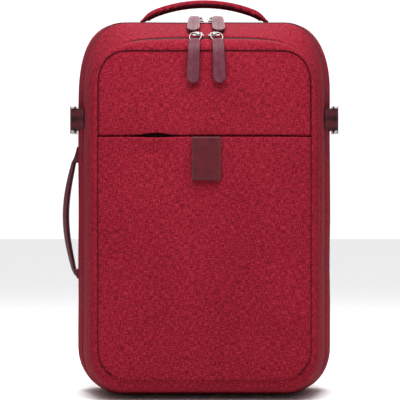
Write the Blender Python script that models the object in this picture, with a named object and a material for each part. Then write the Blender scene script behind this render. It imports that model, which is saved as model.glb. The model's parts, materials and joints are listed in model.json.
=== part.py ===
"""A soft-sided travel backpack: rear shell, hinged lid, front pocket, straps, handles, zips.

Frame: metres, +Z up, the front faces -Y, the wearer's back is at +Y. The origin is on the
underside, below the middle of the main compartment. Soft panels are plain closed solids of
their sewn shape; every moving piece turns or slides about the axis given beside it.
"""

import math

import bmesh
import bpy
from mathutils import Matrix, Vector

# ---- driving sizes ------------------------------------------------------------------
HALF_WIDTH = 0.1540  # at the fullest part of the main compartment
HEIGHT = 0.450  # to the ridge of the top
BACK_Y = 0.085  # outer face of the back panel
SEAM_Y = -0.088  # seam around the front panel
MAIN_ZIP_Y = -0.010
POCKET_ZIP_Y = -0.068
WALL = 0.0030  # padded side fabric
GAP = 0.0003  # between pieces that touch
ZIP_HALF = 0.0040  # half the width of the open strip that a zip fills
ZIP_SINK = 0.0014  # how far the tape lies under the fabric's face
TOP_POWER = 2.3  # squareness of the top corners
LID_SWELL = 0.0012  # outward bow of the lid's strips between the two zips
LONGEST_STEP = 0.030  # between two cross-sections of a side strip

LID_FOLD_Z = 0.030  # where both ends of the main zip stop
POCKET_FOLD_Z = 0.160  # where both ends of the pocket zip stop
SLIT_Z = HEIGHT - 0.142  # mouth of the slip pocket
TRIM_X = 0.0020  # the tab and the sliders are sewn this far to the right of the middle
SPLIT_CLEAR = 0.006  # joins of the side strips stay this far off the rounded corners

LID_HINGE_Y = SEAM_Y - 0.0045
UPPER_CROWN = 0.0030
LOWER_CROWN = 0.0085
LOWER_STEP = 0.0021  # the slip pocket's front stands this far off the seam
SLIP_WALL = 0.0018

TAB_WIDTH = 0.034
TAB_LENGTH = 0.051
TAB_THICK = 0.0026
SNAP_RADIUS = 0.006
SNAP_THICK = 0.0008

PULLER_WIDTH = 0.0156
PULLER_LENGTH = 0.049
PULLER_THICK = 0.0026
PULLER_X = 0.0128  # each puller hangs this far beside the trim's middle
PULLER_LEAN = 0.0022  # and its free end this much further out
SLIDER_WIDTH = 0.0085
SLIDER_LENGTH = 0.0140  # along the zip
SLIDER_HEIGHT = 0.0042
SLIDER_X = 0.0095  # each slider's place beside the trim's middle
SLIDER_TRAVEL = 0.055

HANDLE_Y = 0.025
HANDLE_SPAN = 0.078  # half the distance between the ends
HANDLE_RISE = 0.0195
HANDLE_RADIUS = 0.0046
HANDLE_LIFT = 0.0058  # pivot above the top fabric

GRIP_Y = 0.035
GRIP_LOW = 0.150
GRIP_HIGH = 0.280
GRIP_OUT = 0.0070  # pivot line outside the side fabric
GRIP_BULGE = 0.0095
GRIP_WIDTH = 0.024
GRIP_END_WIDTH = 0.011
GRIP_THICK = 0.0068

STRAP_Z = HEIGHT - 0.118  # compression straps
WEBBING_WIDTH = 0.025
WEBBING_THICK = 0.0015
BUCKLE_HEIGHT = 0.033
BUCKLE_THICK = 0.0070
BUCKLE_MOUTH_Y = 0.010
FEMALE_LENGTH = 0.034
BUCKLE_WALL = 0.0012
PRONG_LENGTH = 0.016

PAD_THICK = 0.0115
SHOULDER_WIDTH = 0.058
SHOULDER_THICK = 0.011


# ---- materials ----------------------------------------------------------------------
def material(name, colour, roughness, metallic=0.0):
    made = bpy.data.materials.new(name)
    made.use_nodes = True
    shader = made.node_tree.nodes["Principled BSDF"]
    shader.inputs["Base Color"].default_value = (*colour, 1.0)
    shader.inputs["Roughness"].default_value = roughness
    shader.inputs["Metallic"].default_value = metallic
    return made


# ---- solids -------------------------------------------------------------------------
def finish_mesh(name, bm, look, smooth_angle=35):
    bmesh.ops.recalc_face_normals(bm, faces=bm.faces)
    mesh = bpy.data.meshes.new(name)
    bm.to_mesh(mesh)
    bm.free()
    mesh.materials.append(look)
    mesh.shade_smooth()
    mesh.set_sharp_from_angle(angle=math.radians(smooth_angle))
    made = bpy.data.objects.new(name, mesh)
    bpy.context.scene.collection.objects.link(made)
    return made


def slab(name, outer, inner, look):
    """A closed solid between two grids of points that have the same rows and columns."""
    rows, columns = len(outer), len(outer[0])
    bm = bmesh.new()
    a = [[bm.verts.new(p) for p in row] for row in outer]
    b = [[bm.verts.new(p) for p in row] for row in inner]
    for i in range(rows - 1):
        for j in range(columns - 1):
            bm.faces.new((a[i][j], a[i][j + 1], a[i + 1][j + 1], a[i + 1][j]))
            bm.faces.new((b[i][j], b[i + 1][j], b[i + 1][j + 1], b[i][j + 1]))
    for i in range(rows - 1):
        for j in (0, columns - 1):
            bm.faces.new((a[i][j], a[i + 1][j], b[i + 1][j], b[i][j]))
    for j in range(columns - 1):
        for i in (0, rows - 1):
            bm.faces.new((a[i][j], a[i][j + 1], b[i][j + 1], b[i][j]))
    return finish_mesh(name, bm, look)


def box(name, low, high, look, bevel=0.0):
    bm = bmesh.new()
    bmesh.ops.create_cube(bm, size=1.0)
    for v in bm.verts:
        v.co = Vector(low[k] + (v.co[k] + 0.5) * (high[k] - low[k]) for k in range(3))
    if bevel:
        bmesh.ops.bevel(bm, geom=bm.edges[:], offset=bevel, segments=2, affect="EDGES")
    return finish_mesh(name, bm, look)


def pocket_box(name, low, high, wall, mouth_axis, mouth_side, look):
    """A box with one open side: the face on mouth_side of mouth_axis is the mouth."""
    bm = bmesh.new()
    inner_low = [low[k] + wall for k in range(3)]
    inner_high = [high[k] - wall for k in range(3)]
    if mouth_side > 0:
        inner_high[mouth_axis] = high[mouth_axis]
    else:
        inner_low[mouth_axis] = low[mouth_axis]

    def corners(a, b):
        ends = (a, b)
        return {
            (i, j, k): bm.verts.new((ends[i][0], ends[j][1], ends[k][2]))
            for i in (0, 1) for j in (0, 1) for k in (0, 1)
        }

    shells = corners(low, high), corners(inner_low, inner_high)
    open_end = 1 if mouth_side > 0 else 0
    turn = ((0, 0), (1, 0), (1, 1), (0, 1))
    for axis in range(3):
        others = [k for k in range(3) if k != axis]
        for end in (0, 1):
            keys = []
            for pair in turn:
                key = [0, 0, 0]
                key[axis] = end
                key[others[0]], key[others[1]] = pair
                keys.append(tuple(key))
            if axis == mouth_axis and end == open_end:
                for n in range(4):
                    p, q = keys[n], keys[(n + 1) % 4]
                    bm.faces.new((shells[0][p], shells[0][q], shells[1][q], shells[1][p]))
            else:
                for shell in shells:
                    bm.faces.new([shell[k] for k in keys])
    return finish_mesh(name, bm, look)


def disc(name, centre, radius, thick, look, sides=20):
    """A round plate with its axis along Y; centre is the middle of its -Y face."""
    bm = bmesh.new()
    ring = [
        Vector((radius * math.cos(t), 0.0, radius * math.sin(t)))
        for t in (2 * math.pi * n / sides for n in range(sides))
    ]
    near = [bm.verts.new(Vector(centre) + p) for p in ring]
    far = [bm.verts.new(Vector(centre) + p + Vector((0, thick, 0))) for p in ring]
    bm.faces.new(near)
    bm.faces.new(far)
    for n in range(sides):
        m = (n + 1) % sides
        bm.faces.new((near[n], near[m], far[m], far[n]))
    return finish_mesh(name, bm, look)


def smooth_path(points, steps):
    """Points along a Catmull-Rom curve through the given ones."""
    ends = [2 * points[0] - points[1], *points, 2 * points[-1] - points[-2]]
    out = []
    for n in range(1, len(ends) - 2):
        p0, p1, p2, p3 = ends[n - 1 : n + 3]
        for k in range(steps):
            t = k / steps
            out.append(
                0.5 * (2 * p1 + (p2 - p0) * t + (2 * p0 - 5 * p1 + 4 * p2 - p3) * t * t
                       + (3 * p1 - p0 - 3 * p2 + p3) * t ** 3)
            )
    return [*out, points[-1].copy()]


def ribbon(name, points, widths, thick, across, look, steps=4, edge=0.75):
    """A strap along a curve: widths at its two ends, across is its width's direction."""
    path = smooth_path([Vector(p) for p in points], steps)
    last = len(path) - 1
    outer, inner = [], []
    for i, p in enumerate(path):
        along = (path[min(i + 1, last)] - path[max(i - 1, 0)]).normalized()
        side = Vector(across)
        side = (side - along * side.dot(along)).normalized()
        out = along.cross(side).normalized()
        half = 0.5 * (widths[0] + (widths[1] - widths[0]) * i / last)
        profile = ((-1.0, edge), (-0.8, 1.0), (0.8, 1.0), (1.0, edge))
        outer.append([p + side * half * f + out * thick / 2 * e for f, e in profile])
        inner.append([p + side * half * f - out * thick / 2 * e for f, e in profile])
    return slab(name, outer, inner, look)


def tube(name, path, radius, side_axis, look, sides=10, flatten=1.0):
    """A round bar along a curve in one plane; side_axis is square to that plane."""
    bm = bmesh.new()
    side = Vector(side_axis)
    last = len(path) - 1
    rings = []
    for i, p in enumerate(path):
        along = (path[min(i + 1, last)] - path[max(i - 1, 0)]).normalized()
        up = side.cross(along).normalized()
        rings.append([
            bm.verts.new(p + side * radius * math.cos(t) + up * radius * flatten * math.sin(t))
            for t in (2 * math.pi * n / sides for n in range(sides))
        ])
    for a, b in zip(rings, rings[1:]):
        for n in range(sides):
            m = (n + 1) % sides
            bm.faces.new((a[n], a[m], b[m], b[n]))
    bm.faces.new(rings[0])
    bm.faces.new(rings[-1])
    return finish_mesh(name, bm, look, 60)


# ---- the bag's outline --------------------------------------------------------------
class Ring:
    """The bag's outline in a plane of constant y: a rectangle with rounded corners."""

    CORNER_STEPS = 8
    SIDE_STEPS = 3

    def __init__(self, y, half_width, low, high, top, bottom):
        self.y, self.half_width, self.low, self.high = y, half_width, low, high
        self.top, self.bottom = top, bottom

    def values(self):
        return (self.half_width, self.low, self.high, *self.top, *self.bottom)

    @classmethod
    def between(cls, a, b, y, share):
        v = [p + (q - p) * share for p, q in zip(a.values(), b.values())]
        return cls(y, v[0], v[1], v[2], (v[3], v[4]), (v[5], v[6]))

    def inset(self, d):
        return Ring(self.y, self.half_width - d, self.low + d, self.high - d,
                    [r - d for r in self.top], [r - d for r in self.bottom])

    def bottom_angle(self, z):
        """How far round the bottom corner the height z is: 0 at the side, pi/2 below."""
        rise = (self.low + self.bottom[1] - z) / self.bottom[1]
        return math.asin(min(max(rise, 0.0), 1.0))

    def edge_x(self, z):
        x = self.half_width
        if z < self.low + self.bottom[1]:
            x -= self.bottom[0] * (1 - math.cos(self.bottom_angle(z)))
        if z > self.high - self.top[1]:
            rise = min((z - self.high + self.top[1]) / self.top[1], 1.0)
            x -= self.top[0] * (1 - (1 - rise ** TOP_POWER) ** (1 / TOP_POWER))
        return x

    def bottom_corner(self, start, end):
        n = self.CORNER_STEPS
        for k in range(n + 1):
            t = start + (end - start) * k / n
            yield (self.half_width - self.bottom[0] * (1 - math.cos(t)),
                   self.low + self.bottom[1] * (1 - math.sin(t)))

    def top_corner(self):
        n = self.CORNER_STEPS
        for k in range(n + 1):
            t = math.pi / 2 * k / n
            yield (self.half_width - self.top[0] * (1 - math.cos(t) ** (2 / TOP_POWER)),
                   self.high - self.top[1] * (1 - math.sin(t) ** (2 / TOP_POWER)))

    def side(self, low, high, side):
        """Points up one side between two heights."""
        points = []
        if low < self.low + self.bottom[1]:
            points += self.bottom_corner(self.bottom_angle(low), 0.0)
            low = points.pop()[1]
        n = self.SIDE_STEPS
        points += [(self.half_width, low + (high - low) * k / n) for k in range(n + 1)]
        return [(side * x, z) for x, z in points]

    def arch(self, low):
        """Points from the left side at a height, over the top, to the right side."""
        left = self.side(low, self.high - self.top[1], -1)[:-1]
        left += [(-x, z) for x, z in self.top_corner()]
        flat_x = -left[-1][0]
        top = [(flat_x * k, self.high) for k in (-0.5, 0.0, 0.5)]
        return left + top + [(-x, z) for x, z in reversed(left)]

    def cup(self, high):
        """Points from the left side at a height, under the bottom, to the right side."""
        start = self.bottom_angle(high)
        left = [(-x, z) for x, z in self.bottom_corner(start, math.pi / 2)]
        if start == 0.0:
            left.insert(0, (-self.half_width, high))
        return left + [(-x, z) for x, z in reversed(left)]


BACK_EDGE = Ring(BACK_Y, HALF_WIDTH - 0.0135, 0.012, HEIGHT - 0.012,
                 (0.046, 0.080), (0.040, 0.044))
REAR = Ring(BACK_Y - 0.023, HALF_WIDTH - 0.001, 0.0, HEIGHT - 0.001,
            (0.051, 0.087), (0.048, 0.054))
WIDEST = Ring(0.020, HALF_WIDTH, 0.0, HEIGHT, (0.051, 0.087), (0.048, 0.054))
MAIN = Ring(MAIN_ZIP_Y, HALF_WIDTH - 0.0080, 0.0, HEIGHT - 0.0005,
            (0.051, 0.087), (0.046, 0.052))
POCKET = Ring(POCKET_ZIP_Y, HALF_WIDTH - 0.0178, 0.0085, HEIGHT - 0.0250,
              (0.058, 0.082), (0.042, 0.048))
SEAM = Ring(SEAM_Y, HALF_WIDTH - 0.0294, 0.024, HEIGHT - 0.039,
            (0.036, 0.043), (0.036, 0.036))
LID_MIDDLE = Ring.between(MAIN, POCKET, (MAIN_ZIP_Y + POCKET_ZIP_Y) / 2, 0.5).inset(-LID_SWELL)
SPANS = ((BACK_EDGE, REAR, "round_out"), (REAR, WIDEST, "straight"),
         (WIDEST, MAIN, "straight"), (MAIN, LID_MIDDLE, "straight"),
         (LID_MIDDLE, POCKET, "straight"), (POCKET, SEAM, "round_in"))


RINGS = (REAR, WIDEST, MAIN, LID_MIDDLE, POCKET, SEAM)
TOP_SPLIT_Z = min(r.high - r.top[1] for r in RINGS) - SPLIT_CLEAR
LOW_SPLIT_Z = max(r.low + r.bottom[1] for r in RINGS) + SPLIT_CLEAR


def ring_at(y):
    """The outline at any depth; the two outer spans curve over as quarter ellipses."""
    for a, b, kind in SPANS:
        if b.y <= y <= a.y:
            share = (a.y - y) / (a.y - b.y)
            if kind == "round_in":
                share = 1 - math.sqrt(1 - share * share)
            if kind == "round_out":
                share = math.sqrt(1 - (1 - share) ** 2)
            return Ring.between(a, b, y, share)
    raise ValueError(y)


def depths(start, end):
    """Depths between two, evenly turned through the rounded spans."""
    places = {start, end}
    places |= {ring.y for ring in (REAR, WIDEST, MAIN, LID_MIDDLE, POCKET) if end < ring.y < start}
    steps = 5
    for k in range(1, steps):
        turn = math.pi / 2 * k / steps
        for y in (REAR.y + (BACK_Y - REAR.y) * math.sin(turn),
                  POCKET.y + (SEAM_Y - POCKET.y) * math.sin(turn)):
            if end + 0.001 < y < start - 0.001:
                places.add(y)
    places = sorted(places)
    middles = [(a + b) / 2 for a, b in zip(places, places[1:]) if b - a > LONGEST_STEP]
    return sorted(places + middles)


def strip(name, start, end, walk, look, sink=0.0, wall=WALL):
    """A shell along part of the outline: walk gives a ring's points."""
    outer, inner = [], []
    for y in depths(start, end):
        ring = ring_at(y)
        outer.append([(x, y, z) for x, z in walk(ring.inset(sink))])
        inner.append([(x, y, z) for x, z in walk(ring.inset(sink + wall))])
    return slab(name, outer, inner, look)


def plate(name, ring, low, high, front, back, look, rows=12, columns=10):
    """A panel filling an outline between two heights; front and back give y at (x, z)."""
    heights = {low, high}
    bends = ((ring.low, ring.bottom[1], 1), (ring.high, ring.top[1], -1))
    for k in range(rows + 1):
        heights.add(low + (high - low) * k / rows)
    for base, radius, way in bends:
        for k in range(1, 6):
            z = base + way * radius * (1 - math.sin(math.pi / 2 * k / 6))
            if low < z < high:
                heights.add(z)
    levels = [low]
    for z in sorted(heights)[1:]:
        if z - levels[-1] > 0.0008:
            levels.append(z)
    levels[-1] = high
    grids = []
    for face in (front, back):
        grid = []
        for z in levels:
            half = ring.edge_x(z)
            xs = [half * (2 * j / columns - 1) for j in range(columns + 1)]
            grid.append([(x, face(x, z), z) for x in xs])
        grids.append(grid)
    return slab(name, *grids, look)


def flat(y):
    return lambda x, z: y


# ---- the front panel's swell --------------------------------------------------------
PANEL = SEAM.inset(WALL + GAP)


def swell(x, z):
    """0 at the front panel's edge, 1 over its middle."""
    u = min(abs(x) / PANEL.half_width, 1.0)
    v = min(abs(2 * z - PANEL.low - PANEL.high) / (PANEL.high - PANEL.low), 1.0)
    return (1 - u ** 4) * (1 - v ** 4)


def upper_face(x, z):
    return SEAM_Y - UPPER_CROWN * swell(x, z)


def lower_face(x, z):
    return SEAM_Y - LOWER_STEP - LOWER_CROWN * swell(x, z)


FRONT_Y = lower_face(0.0, (PANEL.low + PANEL.high) / 2)
POCKET_HINGE_Y = FRONT_Y - 0.0005


# ---- sub-parts ----------------------------------------------------------------------
def rear_shell(looks):
    front_edge = MAIN_ZIP_Y + ZIP_HALF
    sides = (("left", -1), ("right", 1))
    for word, side in sides:
        strip(f"rear_gusset_{word}", BACK_Y, front_edge,
              lambda r, s=side: r.side(LOW_SPLIT_Z + GAP / 2, TOP_SPLIT_Z - GAP / 2, s),
              looks["fabric"])
    strip("rear_gusset_top", BACK_Y, front_edge,
          lambda r: r.arch(TOP_SPLIT_Z + GAP / 2), looks["fabric"])
    strip("bottom_panel", BACK_Y, front_edge,
          lambda r: r.cup(LOW_SPLIT_Z - GAP / 2), looks["fabric"])
    strip("front_bottom_lip", front_edge - GAP, SEAM_Y,
          lambda r: r.cup(LID_FOLD_Z - GAP / 2), looks["fabric"])
    strip("main_zip_tape_rear", front_edge - GAP, MAIN_ZIP_Y + GAP / 2,
          lambda r: r.arch(LID_FOLD_Z + GAP / 2), looks["tape"], ZIP_SINK, 0.0012)
    inside = BACK_EDGE.inset(WALL + GAP)
    plate("back_panel", inside, inside.low, inside.high, flat(BACK_Y), flat(BACK_Y - 0.004),
          looks["mesh"])
    sheet = inside.inset(0.010)
    plate("frame_sheet", sheet, sheet.low, sheet.high, flat(BACK_Y - 0.0045),
          flat(BACK_Y - 0.0075), looks["board"], rows=6, columns=6)
    sleeve_back = BACK_Y - 0.0078
    sleeve_half, board_half = HALF_WIDTH - 0.0345, HALF_WIDTH - 0.0575
    pocket_box("laptop_sleeve", (-sleeve_half, sleeve_back - 0.029, 0.040),
               (sleeve_half, sleeve_back, HEIGHT - 0.110), 0.002, 2, 1, looks["lining"])
    box("base_board", (-board_half, -0.024, WALL + 0.003), (board_half, 0.058, WALL + 0.0055),
        looks["board"])


def back_pads(looks):
    """Three padded cushions, highest in the middle, on the back panel."""
    reach, lumbar = HALF_WIDTH - 0.0405, HALF_WIDTH - 0.0605
    low, high = HEIGHT - 0.192, HEIGHT - 0.065
    places = (("upper_back_pad_left", -reach, -0.008, low, high),
              ("upper_back_pad_right", 0.008, reach, low, high),
              ("lumbar_pad", -lumbar, lumbar, 0.062, 0.152))
    steps = 8
    for name, x0, x1, z0, z1 in places:
        grids = []
        for thick in (PAD_THICK, 0.0):
            grid = []
            for i in range(steps + 1):
                v = 2 * i / steps - 1
                row = []
                for j in range(steps + 1):
                    u = 2 * j / steps - 1
                    rise = (1 - u ** 4) * (1 - v ** 4)
                    y = BACK_Y + GAP + thick * (0.25 + 0.75 * rise)
                    row.append(((x0 + x1 + u * (x1 - x0)) / 2, y, (z0 + z1 + v * (z1 - z0)) / 2))
                grid.append(row)
            grids.append(grid)
        slab(name, *grids, looks["mesh"])


def luggage_strap(looks):
    reach, out = HALF_WIDTH - 0.0245, BACK_Y + 0.0185
    centre_z = 0.205
    points = ((-reach, BACK_Y + 0.0012, centre_z), (-reach + 0.006, BACK_Y + 0.010, centre_z),
              (-reach + 0.020, out, centre_z), (0.0, out, centre_z),
              (reach - 0.020, out, centre_z), (reach - 0.006, BACK_Y + 0.010, centre_z),
              (reach, BACK_Y + 0.0012, centre_z))
    ribbon("luggage_strap", points, (0.076, 0.076), 0.0016, (0, 0, 1), looks["fabric"])


def shoulder_straps(looks):
    """Padded straps that stand off the back in a loop, then webbing through a ladder lock."""
    for word, side in (("left", -1), ("right", 1)):
        route = ((0.040, 0.0990, 0.412), (0.046, 0.1130, 0.399), (0.054, 0.1240, 0.365),
                 (0.066, 0.1300, 0.310), (0.079, 0.1290, 0.250), (0.089, 0.1220, 0.200),
                 (0.094, 0.1170, 0.160))
        ribbon(f"shoulder_strap_{word}", [(side * x, y, z) for x, y, z in route],
               (SHOULDER_WIDTH, SHOULDER_WIDTH * 0.72), SHOULDER_THICK, (1, 0, 0),
               looks["mesh"], steps=3)
        lock_low, lock_high = 0.130, 0.157
        lock_x = side * 0.096
        ladder_lock(f"ladder_lock_{word}", lock_x, 0.1160, lock_low, lock_high, looks["plastic"])
        run = ((0.096, 0.1100, 0.156), (0.0975, 0.1100, 0.130), (0.107, 0.1060, 0.090),
               (0.118, 0.0960, 0.060), (0.124, BACK_Y + 0.0024, 0.045),
               (0.128, BACK_Y + 0.0016, 0.034))
        ribbon(f"lower_webbing_{word}", [(side * x, y, z) for x, y, z in run],
               (WEBBING_WIDTH, WEBBING_WIDTH), WEBBING_THICK, (1, 0, 0), looks["webbing"])


def ladder_lock(name, x, y, low, high, look):
    """A flat adjuster with two slots for the webbing."""
    half, thick, rail = 0.0165, 0.0036, 0.0038
    bar = (high - low - 3 * rail) / 2
    bm = bmesh.new()
    xs = (-half, -half + rail, half - rail, half)
    zs = (low, low + rail, low + rail + bar, low + 2 * rail + bar, high - rail, high)
    faces = {}
    for k, depth in enumerate((y - thick / 2, y + thick / 2)):
        faces[k] = [[bm.verts.new((x + px, depth, pz)) for px in xs] for pz in zs]
    solid = {(i, j) for i in range(5) for j in range(3)} - {(1, 1), (3, 1)}
    for i, j in solid:
        for k in (0, 1):
            g = faces[k]
            bm.faces.new((g[i][j], g[i][j + 1], g[i + 1][j + 1], g[i + 1][j]))
        for di, dj, p, q in ((-1, 0, (0, 0), (0, 1)), (1, 0, (1, 0), (1, 1)),
                             (0, -1, (0, 0), (1, 0)), (0, 1, (0, 1), (1, 1))):
            if (i + di, j + dj) not in solid:
                a = faces[0][i + p[0]][j + p[1]]
                b = faces[0][i + q[0]][j + q[1]]
                c = faces[1][i + q[0]][j + q[1]]
                d = faces[1][i + p[0]][j + p[1]]
                bm.faces.new((a, b, c, d))
    return finish_mesh(name, bm, look)


def lid(looks):
    """The front half: it folds forward about the bottom front edge once unzipped."""
    rear_edge = MAIN_ZIP_Y - ZIP_HALF
    zip_edge = POCKET_ZIP_Y + ZIP_HALF
    for word, side in (("left", -1), ("right", 1)):
        strip(f"lid_gusset_{word}", rear_edge, zip_edge,
              lambda r, s=side: r.side(POCKET_FOLD_Z + GAP / 2, TOP_SPLIT_Z - GAP / 2, s),
              looks["fabric"])
        strip(f"lid_gusset_lower_{word}", rear_edge, SEAM_Y,
              lambda r, s=side: r.side(LID_FOLD_Z + GAP / 2, POCKET_FOLD_Z - GAP / 2, s),
              looks["fabric"])
    strip("lid_gusset_top", rear_edge, zip_edge,
          lambda r: r.arch(TOP_SPLIT_Z + GAP / 2), looks["fabric"])
    strip("main_zip_tape_front", MAIN_ZIP_Y - GAP / 2, rear_edge + GAP,
          lambda r: r.arch(LID_FOLD_Z + GAP / 2), looks["tape"], ZIP_SINK, 0.0012)
    strip("pocket_zip_tape_rear", zip_edge - GAP, POCKET_ZIP_Y + GAP / 2,
          lambda r: r.arch(POCKET_FOLD_Z + GAP / 2), looks["tape"], ZIP_SINK, 0.0012)
    plate("front_panel_lower", PANEL, PANEL.low, POCKET_FOLD_Z - GAP / 2, lower_face,
          lambda x, z: lower_face(x, z) + 0.004, looks["fabric"], rows=7)
    wall_y = -0.060
    wall = ring_at(wall_y).inset(WALL + GAP + 0.001)
    plate("pocket_back_wall", wall, LID_FOLD_Z + 0.002, wall.high, flat(wall_y),
          flat(wall_y + 0.0015), looks["lining"], rows=8, columns=6)
    net_half = HALF_WIDTH - 0.0525
    pocket_box("lid_mesh_pocket", (-net_half, wall_y + 0.0018, 0.100),
               (net_half, wall_y + 0.0125, HEIGHT - 0.120), 0.0010, 2, 1, looks["mesh"])


def pocket_flap(looks):
    """The front pocket's unzipped part: it folds forward about the line of the zip's ends."""
    edge = POCKET_ZIP_Y - ZIP_HALF
    for word, side in (("left", -1), ("right", 1)):
        strip(f"pocket_gusset_{word}", edge, SEAM_Y,
              lambda r, s=side: r.side(POCKET_FOLD_Z + GAP / 2, TOP_SPLIT_Z - GAP / 2, s),
              looks["fabric"])
    strip("pocket_gusset_top", edge, SEAM_Y,
          lambda r: r.arch(TOP_SPLIT_Z + GAP / 2), looks["fabric"])
    strip("pocket_zip_tape_front", POCKET_ZIP_Y - GAP / 2, edge + GAP,
          lambda r: r.arch(POCKET_FOLD_Z + GAP / 2), looks["tape"], ZIP_SINK, 0.0012)
    low = POCKET_FOLD_Z + GAP / 2
    plate("front_panel_upper", PANEL, low, PANEL.high, upper_face,
          lambda x, z: upper_face(x, z) + 0.0025, looks["fabric"])
    plate("slip_pocket_front", PANEL, low, SLIT_Z, lower_face,
          lambda x, z: lower_face(x, z) + SLIP_WALL, looks["fabric"], rows=7)


def closing_tab(looks):
    """A leather tab over the slip pocket's mouth with a magnetic snap under it.

    It turns about the X axis at the mouth, just in front of the fabric.
    """
    snap_z = SLIT_Z - TAB_LENGTH * 0.62
    face = lower_face(0.0, snap_z)
    disc("snap_stud", (TRIM_X, face - GAP - SNAP_THICK, snap_z), SNAP_RADIUS, SNAP_THICK,
         looks["metal"])
    socket = face - 2 * GAP - 2 * SNAP_THICK
    disc("snap_socket", (TRIM_X, socket, snap_z), SNAP_RADIUS, SNAP_THICK, looks["metal"])
    back = socket - GAP
    box("closing_tab", (TRIM_X - TAB_WIDTH / 2, back - TAB_THICK, SLIT_Z - TAB_LENGTH),
        (TRIM_X + TAB_WIDTH / 2, back, SLIT_Z), looks["leather"], 0.0009)


def zip_pair(name, zip_y, forward, down, looks):
    """Two sliders side by side at the middle of a zip, each with a leather puller.

    forward and down place points along the puller, from its slider to its free end; it
    turns about the X axis at the slider.
    """
    top = ring_at(zip_y).high - ZIP_SINK
    base = GAP + max(ring_at(zip_y + way * SLIDER_WIDTH / 2).high for way in (-1, 1))
    for word, side in (("left", -1), ("right", 1)):
        x = TRIM_X + side * SLIDER_X
        box(f"{name}_slider_{word}",
            (x - SLIDER_LENGTH / 2, zip_y - SLIDER_WIDTH / 2, base),
            (x + SLIDER_LENGTH / 2, zip_y + SLIDER_WIDTH / 2, base + SLIDER_HEIGHT),
            looks["metal"], 0.0009)
        last = len(forward) - 1
        route = [(TRIM_X + side * (PULLER_X + PULLER_LEAN * k / last), zip_y - y, top + z)
                 for k, (y, z) in enumerate(zip(forward, down))]
        ribbon(f"{name}_puller_{word}", route, (PULLER_WIDTH * 0.85, PULLER_WIDTH),
               PULLER_THICK, (1, 0, 0), looks["leather"], steps=2)


def top_handle(looks):
    """A padded tube sewn to the top; it folds about the X axis through its ends."""
    chord, rise = HANDLE_SPAN, HANDLE_RISE
    radius = (chord ** 2 + rise ** 2) / (2 * rise)
    half_turn = math.asin(chord / radius)
    pivot_z = ring_at(HANDLE_Y).high + HANDLE_LIFT
    steps = 16
    path = []
    for k in range(steps + 1):
        t = half_turn * (2 * k / steps - 1)
        path.append(Vector((radius * math.sin(t), HANDLE_Y,
                            pivot_z + rise - radius * (1 - math.cos(t)))))
    tube("top_handle", path, HANDLE_RADIUS, (0, 1, 0), looks["fabric"])


def side_handle(looks):
    """A leather grip on the left side, between two sewn anchors; it swings about a
    vertical axis that lies just outside the side fabric."""
    wall_x = ring_at(GRIP_Y).half_width
    pivot = wall_x + GRIP_OUT
    steps = 14
    outer, inner = [], []
    for k in range(steps + 1):
        share = k / steps
        bow = math.sin(math.pi * share)
        z = GRIP_LOW + (GRIP_HIGH - GRIP_LOW) * share
        half = (GRIP_END_WIDTH + (GRIP_WIDTH - GRIP_END_WIDTH) * bow ** 0.6) / 2
        x = pivot + GRIP_BULGE * bow
        profile = ((-1.0, 0.6), (-0.7, 1.0), (0.7, 1.0), (1.0, 0.6))
        outer.append([(-x - GRIP_THICK / 2 * e, GRIP_Y + half * f, z) for f, e in profile])
        inner.append([(-x + GRIP_THICK / 2 * e, GRIP_Y + half * f, z) for f, e in profile])
    slab("side_handle", outer, inner, looks["leather"])
    for word, near, far in (("top", GRIP_HIGH + GAP, GRIP_HIGH + 0.020),
                            ("bottom", GRIP_LOW - GAP, GRIP_LOW - 0.012)):
        reach = pivot + GRIP_THICK / 2
        low, high = min(near, far), max(near, far)
        box(f"side_handle_anchor_{word}", (-reach, GRIP_Y - GRIP_WIDTH / 2, low),
            (-wall_x - GAP - 0.0002, GRIP_Y + GRIP_WIDTH / 2, high), looks["leather"], 0.0015)


def compression_straps(looks):
    """On each side: webbing from the lid into a side-release buckle, webbing to the rear.

    The socket half slides back along +Y to let go of the plug half.
    """
    wall_x = ring_at(BUCKLE_MOUTH_Y + 0.010).half_width
    under = wall_x + GAP
    near = under + WEBBING_THICK + 2 * GAP
    far = near + BUCKLE_THICK
    middle = (near + far) / 2
    low, high = STRAP_Z - BUCKLE_HEIGHT / 2, STRAP_Z + BUCKLE_HEIGHT / 2
    for word, side in (("left", -1), ("right", 1)):
        def span(a, b, y0, y1, z0, z1):
            xs = sorted((side * a, side * b))
            return (xs[0], y0, z0), (xs[1], y1, z1)

        mouth = BUCKLE_MOUTH_Y
        pocket_box(f"buckle_socket_{word}", *span(near, far, mouth, mouth + FEMALE_LENGTH,
                                                  low, high), BUCKLE_WALL, 1, -1,
                   looks["plastic"])
        plug(f"buckle_plug_{word}", side, middle, mouth, looks["plastic"])
        rear = ((under + WEBBING_THICK / 2, mouth + 0.020), (under + WEBBING_THICK / 2, 0.040),
                (wall_x + 0.0012, 0.058), (wall_x - 0.0005, 0.068))
        ribbon(f"rear_webbing_{word}", [(side * x, y, STRAP_Z) for x, y in rear],
               (WEBBING_WIDTH, WEBBING_WIDTH), WEBBING_THICK, (0, 0, 1), looks["webbing"], 2)
        start = ring_at(-0.034).half_width + WEBBING_THICK / 2 + GAP
        plug_back = mouth - 0.0162
        front = ((start, -0.034), (start + 0.0030, -0.026), (middle - 0.0006, plug_back - 0.005),
                 (middle, plug_back))
        ribbon(f"front_webbing_{word}", [(side * x, y, STRAP_Z) for x, y in front],
               (WEBBING_WIDTH, WEBBING_WIDTH), WEBBING_THICK, (0, 0, 1), looks["webbing"], 3)


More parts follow.
